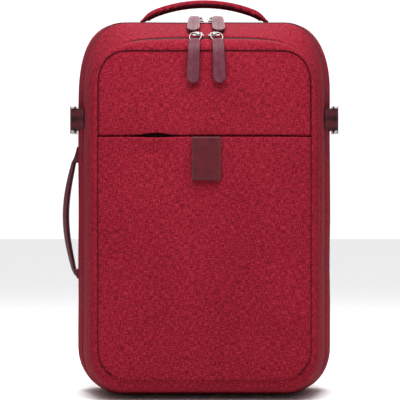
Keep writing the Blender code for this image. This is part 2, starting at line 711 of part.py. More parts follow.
def plug(name, side, middle, mouth, look):
    """The plug half: a block with a broad centre tongue and two prongs in one outline."""
    half = BUCKLE_HEIGHT / 2
    inner = half - BUCKLE_WALL - 0.0006
    block, tip = mouth - 0.015, mouth + PRONG_LENGTH
    root = mouth - 0.0005
    prong, slot = 0.0045, 0.0030
    tongue = inner - prong - slot
    upper = ((block, half - 0.003), (root, half), (root, inner), (tip - 0.004, inner),
             (tip, inner - prong * 0.6), (tip - 0.003, inner - prong),
             (root + 0.003, inner - prong), (root + 0.003, tongue), (tip - 0.003, tongue))
    outline = [*upper, *[(y, -z) for y, z in reversed(upper)]]
    bm = bmesh.new()
    thick = (BUCKLE_THICK - 2 * BUCKLE_WALL - 0.0008) / 2
    sheets = [
        [bm.verts.new((side * (middle + t), y, STRAP_Z + z)) for y, z in outline]
        for t in (-thick, thick)
    ]
    for sheet in sheets:
        bm.faces.new(sheet)
    for n in range(len(outline)):
        m = (n + 1) % len(outline)
        bm.faces.new((sheets[0][n], sheets[0][m], sheets[1][m], sheets[1][n]))
    return finish_mesh(name, bm, look)


def hang(name, place, nodes):
    """Parents moving pieces to an empty on their joint's axis and leaves them where they are."""
    pin = bpy.data.objects.new(name, None)
    pin.location = place
    bpy.context.collection.objects.link(pin)
    for node in nodes:
        thing = bpy.data.objects[node]
        thing.parent = pin
        thing.matrix_parent_inverse = Matrix.Translation(-Vector(place))


def hang_on_joints():
    lid_nodes = ["lid_gusset_left", "lid_gusset_right", "lid_gusset_lower_left",
                 "lid_gusset_lower_right", "lid_gusset_top", "main_zip_tape_front",
                 "pocket_zip_tape_rear", "front_panel_lower", "pocket_back_wall",
                 "lid_mesh_pocket", "front_webbing_left", "front_webbing_right",
                 "buckle_plug_left", "buckle_plug_right"]
    flap_nodes = ["pocket_gusset_left", "pocket_gusset_right", "pocket_gusset_top",
                  "pocket_zip_tape_front", "front_panel_upper", "slip_pocket_front", "snap_stud"]
    hang("lid_joint", (0.0, LID_HINGE_Y, LID_FOLD_Z), lid_nodes)
    hang("pocket_flap_joint", (0.0, POCKET_HINGE_Y, POCKET_FOLD_Z), flap_nodes)
    tab_face = lower_face(0.0, SLIT_Z - TAB_LENGTH * 0.62)
    tab_y = tab_face - 3 * GAP - 2 * SNAP_THICK - TAB_THICK / 2
    hang("tab_joint", (TRIM_X, tab_y, SLIT_Z), ["closing_tab", "snap_socket"])
    handle_z = ring_at(HANDLE_Y).high + HANDLE_LIFT
    hang("top_handle_joint", (0.0, HANDLE_Y, handle_z), ["top_handle"])
    grip_x = -ring_at(GRIP_Y).half_width - GRIP_OUT
    hang("side_handle_joint", (grip_x, GRIP_Y, (GRIP_LOW + GRIP_HIGH) / 2), ["side_handle"])
    for word, side in (("left", -1), ("right", 1)):
        for name, zip_y, forward, up in (("main", MAIN_ZIP_Y, 0.0078, 0.0070),
                                         ("pocket", POCKET_ZIP_Y, 0.0035, 0.0074)):
            top = ring_at(zip_y).high - ZIP_SINK
            slider_x = TRIM_X + side * SLIDER_X
            hang(f"{name}_slider_joint_{word}", (slider_x, zip_y, top),
                 [f"{name}_slider_{word}"])
            hang(f"{name}_puller_joint_{word}",
                 (TRIM_X + side * PULLER_X, zip_y - forward, top + up),
                 [f"{name}_puller_{word}"])
        buckle_x = side * (ring_at(BUCKLE_MOUTH_Y + 0.010).half_width + 0.0059)
        hang(f"buckle_joint_{word}", (buckle_x, BUCKLE_MOUTH_Y, STRAP_Z),
             [f"buckle_socket_{word}"])
    for name, zip_y in (("main", MAIN_ZIP_Y), ("pocket", POCKET_ZIP_Y)):
        print(name, "zip top", ring_at(zip_y).high - ZIP_SINK)
    print("tab axis", tab_y, SLIT_Z, "handle axis", handle_z, "grip axis", grip_x,
          "flap axis", POCKET_HINGE_Y, "lid axis", LID_HINGE_Y)


def main():
    for thing in list(bpy.data.objects):
        bpy.data.objects.remove(thing, do_unlink=True)
    looks = {
        "fabric": material("red heather polyester", (0.36, 0.016, 0.030), 0.85),
        "lining": material("grey polyester lining", (0.10, 0.10, 0.11), 0.80),
        "leather": material("burgundy leather", (0.125, 0.018, 0.026), 0.50),
        "metal": material("polished nickel", (0.62, 0.60, 0.58), 0.22, 1.0),
        "plastic": material("burgundy acetal", (0.080, 0.010, 0.018), 0.28),
        "webbing": material("burgundy webbing", (0.070, 0.014, 0.017), 0.80),
        "mesh": material("dark spacer mesh", (0.035, 0.020, 0.024), 0.90),
        "tape": material("dark red zip tape", (0.075, 0.010, 0.014), 0.75),
        "board": material("grey polyethylene board", (0.20, 0.20, 0.20), 0.60),
    }
    rear_shell(looks)
    back_pads(looks)
    luggage_strap(looks)
    shoulder_straps(looks)
    lid(looks)
    pocket_flap(looks)
    closing_tab(looks)
    zip_pair("main", MAIN_ZIP_Y, (0.0078, 0.0180, 0.0330, 0.0480),
             (0.0070, 0.0020, -0.0060, -0.0135), looks)
    zip_pair("pocket", POCKET_ZIP_Y, (0.0155, 0.0225, 0.0265, 0.0275, 0.0275),
             (-0.0004, -0.0071, -0.0176, -0.0336, -0.0531), looks)
    top_handle(looks)
    side_handle(looks)
    compression_straps(looks)
    hang_on_joints()


main()
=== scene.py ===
# %% [markdown]
# # A travel backpack in red heather polyester
# The bag is a soft box: strips of padded fabric run round it, panels close the front and back, and zips
# join the strips. We build each sewn piece as its own mesh, in metres, where the frame says it goes, and
# then dress it in a material that follows the cloth.

# %% Load the frame
import json
import math

import bmesh
import bpy
import numpy as np
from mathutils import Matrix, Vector, noise


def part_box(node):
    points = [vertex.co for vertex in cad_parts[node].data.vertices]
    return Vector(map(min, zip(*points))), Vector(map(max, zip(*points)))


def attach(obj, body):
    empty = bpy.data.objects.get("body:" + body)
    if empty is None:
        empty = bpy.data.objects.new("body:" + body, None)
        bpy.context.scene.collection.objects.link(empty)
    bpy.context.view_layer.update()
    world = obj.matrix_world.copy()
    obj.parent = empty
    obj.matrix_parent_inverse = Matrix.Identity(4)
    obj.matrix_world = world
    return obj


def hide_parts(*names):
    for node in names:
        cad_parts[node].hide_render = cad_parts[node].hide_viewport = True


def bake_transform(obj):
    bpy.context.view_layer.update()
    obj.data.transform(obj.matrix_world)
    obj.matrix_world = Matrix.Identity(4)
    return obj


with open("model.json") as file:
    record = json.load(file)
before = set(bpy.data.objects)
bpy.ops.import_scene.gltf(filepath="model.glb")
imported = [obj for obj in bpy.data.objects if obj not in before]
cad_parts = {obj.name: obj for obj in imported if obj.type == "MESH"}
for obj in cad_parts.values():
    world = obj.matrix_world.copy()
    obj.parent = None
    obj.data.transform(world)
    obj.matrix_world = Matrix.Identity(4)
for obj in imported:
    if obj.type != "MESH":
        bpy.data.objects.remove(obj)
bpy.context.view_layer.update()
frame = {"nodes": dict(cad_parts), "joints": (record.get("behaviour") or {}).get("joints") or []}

# %% [markdown]
# ## Driving sizes
# Every place comes from the frame's own boxes, so the cloth lands on the solids it stands for. The rings
# below are the bag's outline at six depths, from the back edge to the seam round the front panel.

# %% Sizes read from the frame
REAR_HIGH = Vector(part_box("rear_gusset_top")[1])
HALF_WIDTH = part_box("rear_gusset_right")[1][0]
HEIGHT = REAR_HIGH.z
BACK_Y = REAR_HIGH.y
SEAM_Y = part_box("pocket_gusset_top")[0][1]
MAIN_ZIP_Y = (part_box("main_zip_tape_rear")[0][1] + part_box("main_zip_tape_front")[1][1]) / 2
POCKET_ZIP_Y = (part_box("pocket_zip_tape_rear")[0][1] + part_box("pocket_zip_tape_front")[1][1]) / 2
LID_FOLD_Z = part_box("lid_gusset_lower_left")[0][2]
POCKET_FOLD_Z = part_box("pocket_gusset_left")[0][2]
SLIT_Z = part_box("slip_pocket_front")[1][2]
WALL = 0.0030
EDGE = 0.0003
ZIP_HALF = 0.0040
ZIP_SINK = 0.0014
TOP_POWER = 2.3
JOINTS = {j["name"]: j for j in frame["joints"]}
SIDES = (("left", -1), ("right", 1))
ZIPS = (("main", MAIN_ZIP_Y, LID_FOLD_Z, ("root", "lid")),
        ("pocket", POCKET_ZIP_Y, POCKET_FOLD_Z, ("lid", "pocket_flap")))
print("width", round(2 * HALF_WIDTH, 4), "height", round(HEIGHT, 4), "zips at", MAIN_ZIP_Y, POCKET_ZIP_Y)


# %% The outline in a plane of constant depth
class Ring:
    """A rectangle with rounded corners, at depth y: half width, heights, corner radii (x, z)."""

    def __init__(self, y, half, low, high, top, bottom):
        self.y, self.half, self.low, self.high, self.top, self.bottom = y, half, low, high, top, bottom

    def between(self, other, y, share):
        a = (self.half, self.low, self.high, *self.top, *self.bottom)
        b = (other.half, other.low, other.high, *other.top, *other.bottom)
        v = [p + (q - p) * share for p, q in zip(a, b)]
        return Ring(y, v[0], v[1], v[2], (v[3], v[4]), (v[5], v[6]))

    def inset(self, d):
        return Ring(self.y, self.half - d, self.low + d, self.high - d,
                    [r - d for r in self.top], [r - d for r in self.bottom])

    def bottom_turn(self, z):
        return math.asin(min(max((self.low + self.bottom[1] - z) / self.bottom[1], 0.0), 1.0))

    def edge_x(self, z):
        x = self.half
        if z < self.low + self.bottom[1]:
            x -= self.bottom[0] * (1 - math.cos(self.bottom_turn(z)))
        if z > self.high - self.top[1]:
            rise = min((z - self.high + self.top[1]) / self.top[1], 1.0)
            x -= self.top[0] * (1 - (1 - rise ** TOP_POWER) ** (1 / TOP_POWER))
        return x

    def right(self, low, side_steps=24, corner_steps=16):
        """Points up the right side from a height, round the top corner."""
        points = []
        if low < self.low + self.bottom[1] - 1e-6:
            start = self.bottom_turn(low)
            for k in range(10):
                t = start * (1 - k / 10)
                points.append((self.half - self.bottom[0] * (1 - math.cos(t)),
                               self.low + self.bottom[1] * (1 - math.sin(t))))
            low = self.low + self.bottom[1]
        high = self.high - self.top[1]
        points += [(self.half, low + (high - low) * k / side_steps) for k in range(side_steps)]
        for k in range(corner_steps + 1):
            t = math.pi / 2 * k / corner_steps
            points.append((self.half - self.top[0] * (1 - math.cos(t) ** (2 / TOP_POWER)),
                           self.high - self.top[1] * (1 - math.sin(t) ** (2 / TOP_POWER))))
        return points

    def arch(self, low, top_steps=22):
        up = self.right(low)
        flat = up[-1][0]
        top = [(flat * (1 - 2 * k / top_steps), self.high) for k in range(1, top_steps)]
        return up + top + [(-x, z) for x, z in reversed(up)]

    def cup(self, high, steps=12):
        start = self.bottom_turn(high)
        left = []
        if start == 0.0:
            left = [(-self.half, high + (self.low + self.bottom[1] - high) * k / 4) for k in range(4)]
        for k in range(steps + 1):
            t = start + (math.pi / 2 - start) * k / steps
            left.append((-self.half + self.bottom[0] * (1 - math.cos(t)),
                         self.low + self.bottom[1] * (1 - math.sin(t))))
        flat = left[-1][0]
        base = [(flat * (1 - 2 * k / 16), self.low) for k in range(1, 16)]
        return left + base + [(-x, z) for x, z in reversed(left)]


BACK_EDGE = Ring(BACK_Y, HALF_WIDTH - 0.0135, 0.012, HEIGHT - 0.012, (0.046, 0.080), (0.040, 0.044))
REAR = Ring(BACK_Y - 0.023, HALF_WIDTH - 0.001, 0.0, HEIGHT - 0.001, (0.051, 0.087), (0.048, 0.054))
WIDEST = Ring(0.020, HALF_WIDTH, 0.0, HEIGHT, (0.051, 0.087), (0.048, 0.054))
MAIN = Ring(MAIN_ZIP_Y, HALF_WIDTH - 0.0080, 0.0, HEIGHT - 0.0005, (0.051, 0.087), (0.046, 0.052))
POCKET = Ring(POCKET_ZIP_Y, HALF_WIDTH - 0.0178, 0.0085, HEIGHT - 0.0250, (0.058, 0.082), (0.042, 0.048))
SEAM = Ring(SEAM_Y, HALF_WIDTH - 0.0294, 0.024, HEIGHT - 0.039, (0.036, 0.043), (0.036, 0.036))
LID_MIDDLE = MAIN.between(POCKET, (MAIN_ZIP_Y + POCKET_ZIP_Y) / 2, 0.5).inset(-0.0012)
SPANS = ((BACK_EDGE, REAR, "round_out"), (REAR, WIDEST, ""), (WIDEST, MAIN, ""),
         (MAIN, LID_MIDDLE, ""), (LID_MIDDLE, POCKET, ""), (POCKET, SEAM, "round_in"))
PANEL = SEAM.inset(WALL + EDGE)


def ring_at(y):
    y = min(max(y, SEAM_Y), BACK_Y)
    for a, b, kind in SPANS:
        if b.y <= y <= a.y:
            share = (a.y - y) / (a.y - b.y)
            if kind == "round_in":
                share = 1 - math.sqrt(1 - share * share)
            if kind == "round_out":
                share = math.sqrt(1 - (1 - share) ** 2)
            return a.between(b, y, share)


def swell(x, z):
    """0 at the front panel's edge, 1 over its middle."""
    u = min(abs(x) / PANEL.half, 1.0)
    v = min(abs(2 * z - PANEL.low - PANEL.high) / (PANEL.high - PANEL.low), 1.0)
    return (1 - u ** 4) * (1 - v ** 4)


def upper_face(x, z):
    return SEAM_Y - 0.0030 * swell(x, z)


def lower_face(x, z):
    return SEAM_Y - 0.0021 - 0.0085 * swell(x, z)


# %% [markdown]
# ## Materials
# Colours are written as sRGB hex and turned to linear once. Cloth patterns read a UV map in metres, so a
# thread is a real number of millimetres wide on every strip, whichever way the strip turns.

# %% Material helpers
def rgb(code):
    """An sRGB hex colour as linear RGBA."""
    parts = [int(code[k : k + 2], 16) / 255 for k in (0, 2, 4)]
    return (*[c / 12.92 if c <= 0.04045 else ((c + 0.055) / 1.055) ** 2.4 for c in parts], 1.0)


def add(tree, kind, settings=None, **links):
    """A node. A link names an input (or its number, as _0) and gives it a value or an output."""
    made = tree.nodes.new(kind)
    for key, value in (settings or {}).items():
        if key != "stops":
            setattr(made, key, value)
            continue
        band = made.color_ramp.elements
        for place, colour in value[1:-1]:
            band.new(place).color = colour
        for element, (place, colour) in ((band[0], value[0]), (band[-1], value[-1])):
            element.position, element.color = place, colour
    for key, value in links.items():
        socket = made.inputs[int(key[1:])] if key[1:].isdigit() else made.inputs[key.replace("_", " ")]
        if isinstance(value, bpy.types.NodeSocket):
            tree.links.new(value, socket)
        else:
            socket.default_value = value
    return made


def finish(name, **sockets):
    """A new material with the shader's plain sockets set."""
    made = bpy.data.materials.new(name)
    made.use_nodes = True
    shader = made.node_tree.nodes["Principled BSDF"]
    for key, value in sockets.items():
        shader.inputs[key.replace("_", " ")].default_value = value
    return made, made.node_tree, shader.inputs


# %% [markdown]
# Heather cloth is woven from yarn whose fibres took the dye unevenly. Each thread is a short streak a little
# darker or lighter than its neighbours, across and along. Two stretched noises give the streaks, two waves
# give the over and under of the weave. Real threads are half a millimetre apart, too fine to show at this
# size, so the streaks are drawn nearly twice as coarse. Cloth hardly shines, so its specular level is low.

# %% Woven cloth
def woven(name, dark, mid, light, thread_mm, roughness, sheen, depth_mm=0.12, fleck=0.5):
    made, tree, sockets = finish(name, Roughness=roughness, Sheen_Weight=sheen, Sheen_Roughness=0.45,
                                 Sheen_Tint=light, Specular_IOR_Level=0.06)
    place = add(tree, "ShaderNodeUVMap", {"uv_map": "cloth"}).outputs["UV"]
    per_metre = 1000.0 / thread_mm
    streaks = []
    for scale in ((per_metre * 0.16, per_metre, 1.0), (per_metre, per_metre * 0.16, 1.0)):
        spread = add(tree, "ShaderNodeMapping", Vector=place, Scale=scale).outputs["Vector"]
        streaks.append(add(tree, "ShaderNodeTexNoise", {"noise_dimensions": "2D"}, Vector=spread,
                           Scale=0.9, Detail=2.0, Roughness=0.65).outputs["Fac"])
    both = add(tree, "ShaderNodeMath", {"operation": "ADD"}, _0=streaks[0], _1=streaks[1]).outputs[0]
    half = add(tree, "ShaderNodeMath", {"operation": "MULTIPLY"}, _0=both, _1=0.5).outputs[0]
    cloud = add(tree, "ShaderNodeTexNoise", {"noise_dimensions": "2D"}, Vector=place, Scale=14.0,
                Detail=3.0).outputs["Fac"]
    soft = add(tree, "ShaderNodeMath", {"operation": "MULTIPLY_ADD"}, _0=cloud, _1=0.07, _2=-0.035)
    mix = add(tree, "ShaderNodeMath", {"operation": "ADD"}, _0=half, _1=soft.outputs[0]).outputs[0]
    stops = ((0.5 - 0.2 * fleck, dark), (0.5, mid), (0.5 + 0.22 * fleck, light))
    colour = add(tree, "ShaderNodeValToRGB", {"stops": stops}, Fac=mix).outputs["Color"]
    tree.links.new(colour, sockets["Base Color"])
    waves = [add(tree, "ShaderNodeTexWave", {"bands_direction": axis}, Vector=place, Scale=per_metre * 0.05,
                 Distortion=1.2, Detail=1.0, Detail_Scale=40.0).outputs["Fac"] for axis in ("X", "Y")]
    weave = add(tree, "ShaderNodeMath", {"operation": "MULTIPLY"}, _0=waves[0], _1=waves[1]).outputs[0]
    relief = add(tree, "ShaderNodeMath", {"operation": "MULTIPLY_ADD"}, _0=half, _1=0.8, _2=weave)
    rise = add(tree, "ShaderNodeBump", Height=relief.outputs[0], Strength=0.55, Distance=depth_mm / 1000)
    tree.links.new(rise.outputs["Normal"], sockets["Normal"])
    return made


# %% [markdown]
# Leather is a hide whose grain is a net of small cells, pressed and then coated. Voronoi cells of about a
# millimetre make the grain, and a slow noise makes the uneven dye. The coating is matt, so highlights stay
# weak.

# %% Leather, moulded plastic, plated metal
def hide(name, dark, light, roughness):
    made, tree, sockets = finish(name, Roughness=roughness, Specular_IOR_Level=0.14)
    place = add(tree, "ShaderNodeTexCoord").outputs["Object"]
    grain = add(tree, "ShaderNodeTexVoronoi", {"feature": "F1"}, Vector=place, Scale=950.0,
                Randomness=0.9).outputs["Distance"]
    cloud = add(tree, "ShaderNodeTexNoise", Vector=place, Scale=120.0, Detail=4.0).outputs["Fac"]
    mix = add(tree, "ShaderNodeMath", {"operation": "MULTIPLY_ADD"}, _0=grain, _1=-0.35, _2=cloud).outputs[0]
    colour = add(tree, "ShaderNodeValToRGB", {"stops": ((0.1, dark), (0.7, light))}, Fac=mix)
    tree.links.new(colour.outputs["Color"], sockets["Base Color"])
    rise = add(tree, "ShaderNodeBump", Height=mix, Strength=0.45, Distance=0.0002)
    tree.links.new(rise.outputs["Normal"], sockets["Normal"])
    return made


def moulded(name, colour, roughness):
    """Injection-moulded plastic: an even colour and a fine spark-eroded texture."""
    made, tree, sockets = finish(name, Roughness=roughness)
    place = add(tree, "ShaderNodeTexCoord").outputs["Object"]
    grit = add(tree, "ShaderNodeTexNoise", Vector=place, Scale=1400.0, Detail=2.0).outputs["Fac"]
    tone = add(tree, "ShaderNodeTexNoise", Vector=place, Scale=60.0, Detail=2.0).outputs["Fac"]
    lighter = (*[min(1.0, c * 1.35) for c in colour[:3]], 1.0)
    shade = add(tree, "ShaderNodeValToRGB", {"stops": ((0.3, colour), (0.7, lighter))}, Fac=tone)
    tree.links.new(shade.outputs["Color"], sockets["Base Color"])
    rise = add(tree, "ShaderNodeBump", Height=grit, Strength=0.25, Distance=0.00005)
    tree.links.new(rise.outputs["Normal"], sockets["Normal"])
    return made


def plated(name, colour, roughness):
    """Nickel-plated die-cast zinc: bright, with hair scratches that widen the highlights."""
    made, tree, sockets = finish(name, Base_Color=colour, Metallic=1.0)
    place = add(tree, "ShaderNodeTexCoord").outputs["Object"]
    long = add(tree, "ShaderNodeMapping", Vector=place, Scale=(1800.0, 300.0, 1800.0)).outputs["Vector"]
    hair = add(tree, "ShaderNodeTexNoise", Vector=long, Scale=1.0, Detail=3.0).outputs["Fac"]
    rough = add(tree, "ShaderNodeMapRange", Value=hair, To_Min=roughness * 0.7, To_Max=roughness * 1.5)
    tree.links.new(rough.outputs["Result"], sockets["Roughness"])
    return made


# %% Webbing and spacer mesh
def ribbed(name, dark, light, rib_mm):
    """Flat webbing: ribs of thread across its width, read along the strap's own length."""
    made, tree, sockets = finish(name, Roughness=0.78, Sheen_Weight=0.02, Specular_IOR_Level=0.08)
    place = add(tree, "ShaderNodeUVMap", {"uv_map": "cloth"}).outputs["UV"]
    rib = add(tree, "ShaderNodeTexWave", {"bands_direction": "X"}, Vector=place,
              Scale=1000.0 / rib_mm * 0.05, Distortion=0.4).outputs["Fac"]
    cross = add(tree, "ShaderNodeTexWave", {"bands_direction": "Y"}, Vector=place,
                Scale=1000.0 / rib_mm * 0.03, Distortion=0.6).outputs["Fac"]
    both = add(tree, "ShaderNodeMath", {"operation": "MULTIPLY_ADD"}, _0=cross, _1=0.4, _2=rib).outputs[0]
    shade = add(tree, "ShaderNodeValToRGB", {"stops": ((0.1, dark), (1.0, light))}, Fac=both)
    tree.links.new(shade.outputs["Color"], sockets["Base Color"])
    rise = add(tree, "ShaderNodeBump", Height=both, Strength=0.8, Distance=0.0004)
    tree.links.new(rise.outputs["Normal"], sockets["Normal"])
    return made


def spacer_mesh(name, dark, light, cell_mm):
    """Spacer mesh: rows of small round holes in a knitted face, over a springy middle."""
    made, tree, sockets = finish(name, Roughness=0.85, Sheen_Weight=0.06)
    place = add(tree, "ShaderNodeUVMap", {"uv_map": "cloth"}).outputs["UV"]
    cell = add(tree, "ShaderNodeTexVoronoi", {"voronoi_dimensions": "2D"}, Vector=place,
               Scale=1000.0 / cell_mm, Randomness=0.12).outputs["Distance"]
    shade = add(tree, "ShaderNodeValToRGB", {"stops": ((0.18, dark), (0.42, light))}, Fac=cell)
    tree.links.new(shade.outputs["Color"], sockets["Base Color"])
    rise = add(tree, "ShaderNodeBump", Height=cell, Strength=0.9, Distance=0.0009)
    tree.links.new(rise.outputs["Normal"], sockets["Normal"])
    return made


# %% The bag's finishes
RED = woven("red heather polyester, plain weave", rgb("550A16"), rgb("731120"), rgb("902334"),
            0.85, 0.85, 0.02, fleck=0.62)
LINING = woven("grey polyester lining", rgb("2E2E33"), rgb("3B3B41"), rgb("4A4A52"), 0.9, 0.7, 0.03, 0.05)
TAPE = woven("dark red zip tape", rgb("24060A"), rgb("33090F"), rgb("470F17"), 0.8, 0.8, 0.01)
BINDING = woven("burgundy seam binding", rgb("4A0F1B"), rgb("5D1523"), rgb("73202E"), 0.8, 0.7, 0.03)
LEATHER = hide("burgundy grained leather", rgb("4C1E2A"), rgb("62303D"), 0.50)
TAB_LEATHER = hide("dark burgundy tab leather", rgb("421018"), rgb("561820"), 0.42)
LEATHER_EDGE = moulded("burgundy edge paint", rgb("3E1017"), 0.38)
GRIP_LEATHER = hide("maroon grip leather", rgb("3C1318"), rgb("573035"), 0.50)
THREAD = moulded("burgundy bonded thread", rgb("7E4450"), 0.55)
DARK_THREAD = moulded("dark bonded thread", rgb("2A0B12"), 0.55)
NICKEL = plated("nickel-plated zinc", rgb("A39E9C"), 0.24)
COIL = moulded("dark red nylon coil", rgb("300A10"), 0.42)
ACETAL = moulded("burgundy moulded acetal", rgb("3E0B15"), 0.16)
WEBBING = ribbed("burgundy ribbed webbing", rgb("240A0D"), rgb("48191F"), 2.2)
MESH = spacer_mesh("dark spacer mesh", rgb("1A1012"), rgb("3B262B"), 3.2)
BOARD = moulded("grey polyethylene board", rgb("3A3A3E"), 0.6)
# The pocket lining is a real piece, but its near-black colour is painted shade for the dark inside the slip
# pocket's mouth.
POCKET_SHADE_CLOTH = woven("dark burgundy pocket lining, darkened as painted shade", rgb("200709"), rgb("2E0B0F"), rgb("3D1217"),
                     0.8, 0.8, 0.01)


# %% [markdown]
# ## Sewn strips and panels
# A strip is a grid of points: one row for each depth, one column for each step round the outline. The same
# grid, moved in by the wall, is its lining. Sewn edges roll under, so the last few millimetres sink a little.

# %% Small helpers for meshes
def link(name, mesh):
    """An object for the mesh, in the scene."""
    made = bpy.data.objects.new(name, mesh)
    bpy.context.scene.collection.objects.link(made)
    return made


def shape(name, verts, faces, looks, kinds=()):
    """A mesh with its looks. Kinds, where given, says which look each face takes."""
    mesh = bpy.data.meshes.new(name)
    mesh.from_pydata(verts, [], faces)
    for look in looks:
        mesh.materials.append(look)
    if kinds:
        mesh.polygons.foreach_set("material_index", [min(k, len(looks) - 1) for k in kinds])
    return mesh


def kept(name, bm):
    """The edited faces as a mesh of their own."""
    mesh = bpy.data.meshes.new(name)
    bm.to_mesh(mesh)
    bm.free()
    return mesh


def applied(piece):
    """A piece's mesh with its modifiers applied."""
    graph = bpy.context.evaluated_depsgraph_get()
    return bpy.data.meshes.new_from_object(piece.evaluated_get(graph))


def cloth_map(mesh, points):
    """A UV map named cloth, in metres, from one (u, v) for each vertex."""
    layer = mesh.uv_layers.new(name="cloth")
    index = np.zeros(len(mesh.loops), int)
    mesh.loops.foreach_get("vertex_index", index)
    layer.data.foreach_set("uv", np.asarray(points).reshape(-1, 2)[index].astype(np.float32).ravel())


def rounded(mesh, angle):
    """Smooth shading, sharp only where faces meet at more than the angle."""
    mesh.shade_smooth()
    mesh.set_sharp_from_angle(angle=math.radians(angle))


# %% Grid meshes
def solid_grid(name, outer, inner, cloth, looks, loop=False):
    """A closed shell between two grids; cloth gives each point's UV in metres."""
    outer, inner, cloth = (np.asarray(g, float) for g in (outer, inner, cloth))
    rows, columns = outer.shape[:2]
    verts = np.concatenate([outer.reshape(-1, 3), inner.reshape(-1, 3)])
    uv = np.concatenate([cloth.reshape(-1, 2)] * 2)
    count = rows * columns
    last = columns if loop else columns - 1
    faces, kinds = [], []
    for i in range(rows - 1):
        for j in range(last):
            k = (j + 1) % columns
            a, b, c, d = i * columns + j, i * columns + k, (i + 1) * columns + k, (i + 1) * columns + j
            faces += [(a, b, c, d), (a + count, d + count, c + count, b + count)]
            kinds += [0, 1]
    rims = [((i, 0), (i + 1, 0)) for i in range(rows - 1)] if not loop else []
    rims += [((i + 1, columns - 1), (i, columns - 1)) for i in range(rows - 1)] if not loop else []
    for j in range(last):
        k = (j + 1) % columns
        rims += [((0, k), (0, j)), ((rows - 1, j), (rows - 1, k))]
    for (i, j), (m, n) in rims:
        a, b = i * columns + j, m * columns + n
        faces.append((a, b, b + count, a + count))
        kinds.append(0)
    mesh = shape(name, verts.tolist(), faces, looks, kinds)
    cloth_map(mesh, uv)
    mesh.update()
    total = sum(p.area * p.normal.dot(p.center) for p in mesh.polygons)
    if total < 0:
        mesh.flip_normals()
    rounded(mesh, 50)
    return link(name, mesh)


def settle(piece, body, nodes=()):
    """Puts a finished piece under its body's empty and hides the CAD nodes it replaces."""
    if body:
        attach(piece, body)
    if nodes:
        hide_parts(*nodes)
    return piece


def lengths(points):
    steps = np.linalg.norm(np.diff(np.asarray(points, float), axis=0), axis=1)
    return np.concatenate([[0.0], np.cumsum(steps)])


def depth_rows(start, end, roll_start, roll_end, step=0.004, roll=0.0022, drop=0.0013):
    """Depths from start to end, with how far each row sinks where the cloth's edge rolls under."""
    n = max(int(abs(end - start) / step), 4)
    rows = {start + (end - start) * k / n: 0.0 for k in range(n + 1)}
    for flag, edge, way in ((roll_start, start, end - start), (roll_end, end, start - end)):
        if flag:
            way = math.copysign(1.0, way)
            rows = {y: s for y, s in rows.items() if abs(y - edge) > roll}
            for k in range(6):
                turn = k / 5 * math.pi / 2
                rows[edge + way * roll * (1 - math.cos(turn))] = drop * (1 - math.sin(turn))
    return sorted(rows.items(), reverse=True)


def puff(x, y, z, size=0.0006):
    """A slow unevenness, so the padding doesn't look machined."""
    return size * noise.noise(Vector((x * 17, y * 17, z * 17)) + Vector((3.1, 7.7, 1.9)))


def strip(name, rows, walk, looks, wall=WALL, loop=False, soft=0.0006, sink=0.0):
    outer, inner, cloth = [], [], []
    run = 0.0
    previous = None
    for y, drop in rows:
        ring = ring_at(y)
        here = walk(ring.inset(drop + sink))
        below = walk(ring.inset(wall + sink))
        along = lengths([(x, 0, z) for x, z in here])
        middle = along[-1] / 2
        first = np.array([here[len(here) // 2][0], y, here[len(here) // 2][1]])
        run += 0.0 if previous is None else float(np.linalg.norm(first - previous))
        previous = first
        outer.append([(x * (1 + puff(x, y, z, soft) / HALF_WIDTH), y, z + puff(z, x, y, soft)
                       if z > 0.02 else z) for x, z in here])
        inner.append([(x, y, z) for x, z in below])
        cloth.append([(a - middle, run) for a in along])
    return solid_grid(name, outer, inner, cloth, looks, loop)


def panel(name, ring, low, high, face, wall, looks, columns=72, row_step=0.004, edge_drop=0.0014,
          top_drop=True):
    """A panel that fills an outline between two heights, its edges rolled in to the seam."""
    heights = set(np.linspace(low, high, int((high - low) / row_step) + 1).tolist())
    for near in (0.0006, 0.0013, 0.0022):
        heights |= {low + near, high - near}
    for base, radius, way in ((ring.low, ring.bottom[1], 1), (ring.high, ring.top[1], -1)):
        for k in range(1, 14):
            z = base + way * radius * (1 - math.sin(math.pi / 2 * k / 14))
            if low < z < high:
                heights.add(z)
    levels = [low]
    for z in sorted(heights)[1:]:
        if z - levels[-1] > 0.0003:
            levels.append(z)
    levels[-1] = high
    shares = np.sin(np.linspace(-1, 1, columns + 1) * math.pi / 2)
    shares = 0.45 * shares + 0.55 * np.linspace(-1, 1, columns + 1)
    outer, inner, cloth = [], [], []
    for z in levels:
        half = ring.edge_x(z)
        front, back, uv = [], [], []
        for s in shares:
            x = half * s
            reach = min(half - abs(x), z - ring.low)
            if top_drop:
                reach = min(reach, ring.high - z)
            t = min(max(reach, 0.0) / 0.0026, 1.0)
            drop = edge_drop * (1 - math.sqrt(max(0.0, 1 - (1 - t) ** 2)))
            y = face(x, z)
            front.append((x, y + drop + puff(x, y, z), z))
            back.append((x, y + wall, z))
            uv.append((x, z))
        outer.append(front)
        inner.append(back)
        cloth.append(uv)
    return solid_grid(name, outer, inner, cloth, looks)


# %% [markdown]
# ## The rear shell and the lid's strips
# On the real bag one long strip goes round the whole rear compartment, and another round the lid. Making
# each as one mesh keeps the weave running unbroken round the corners.

# %% The front's top edge droops towards its corners
DROOP_ZIP, DROOP_SEAM, DROOP_FROM = 0.0060, 0.0022, 0.352


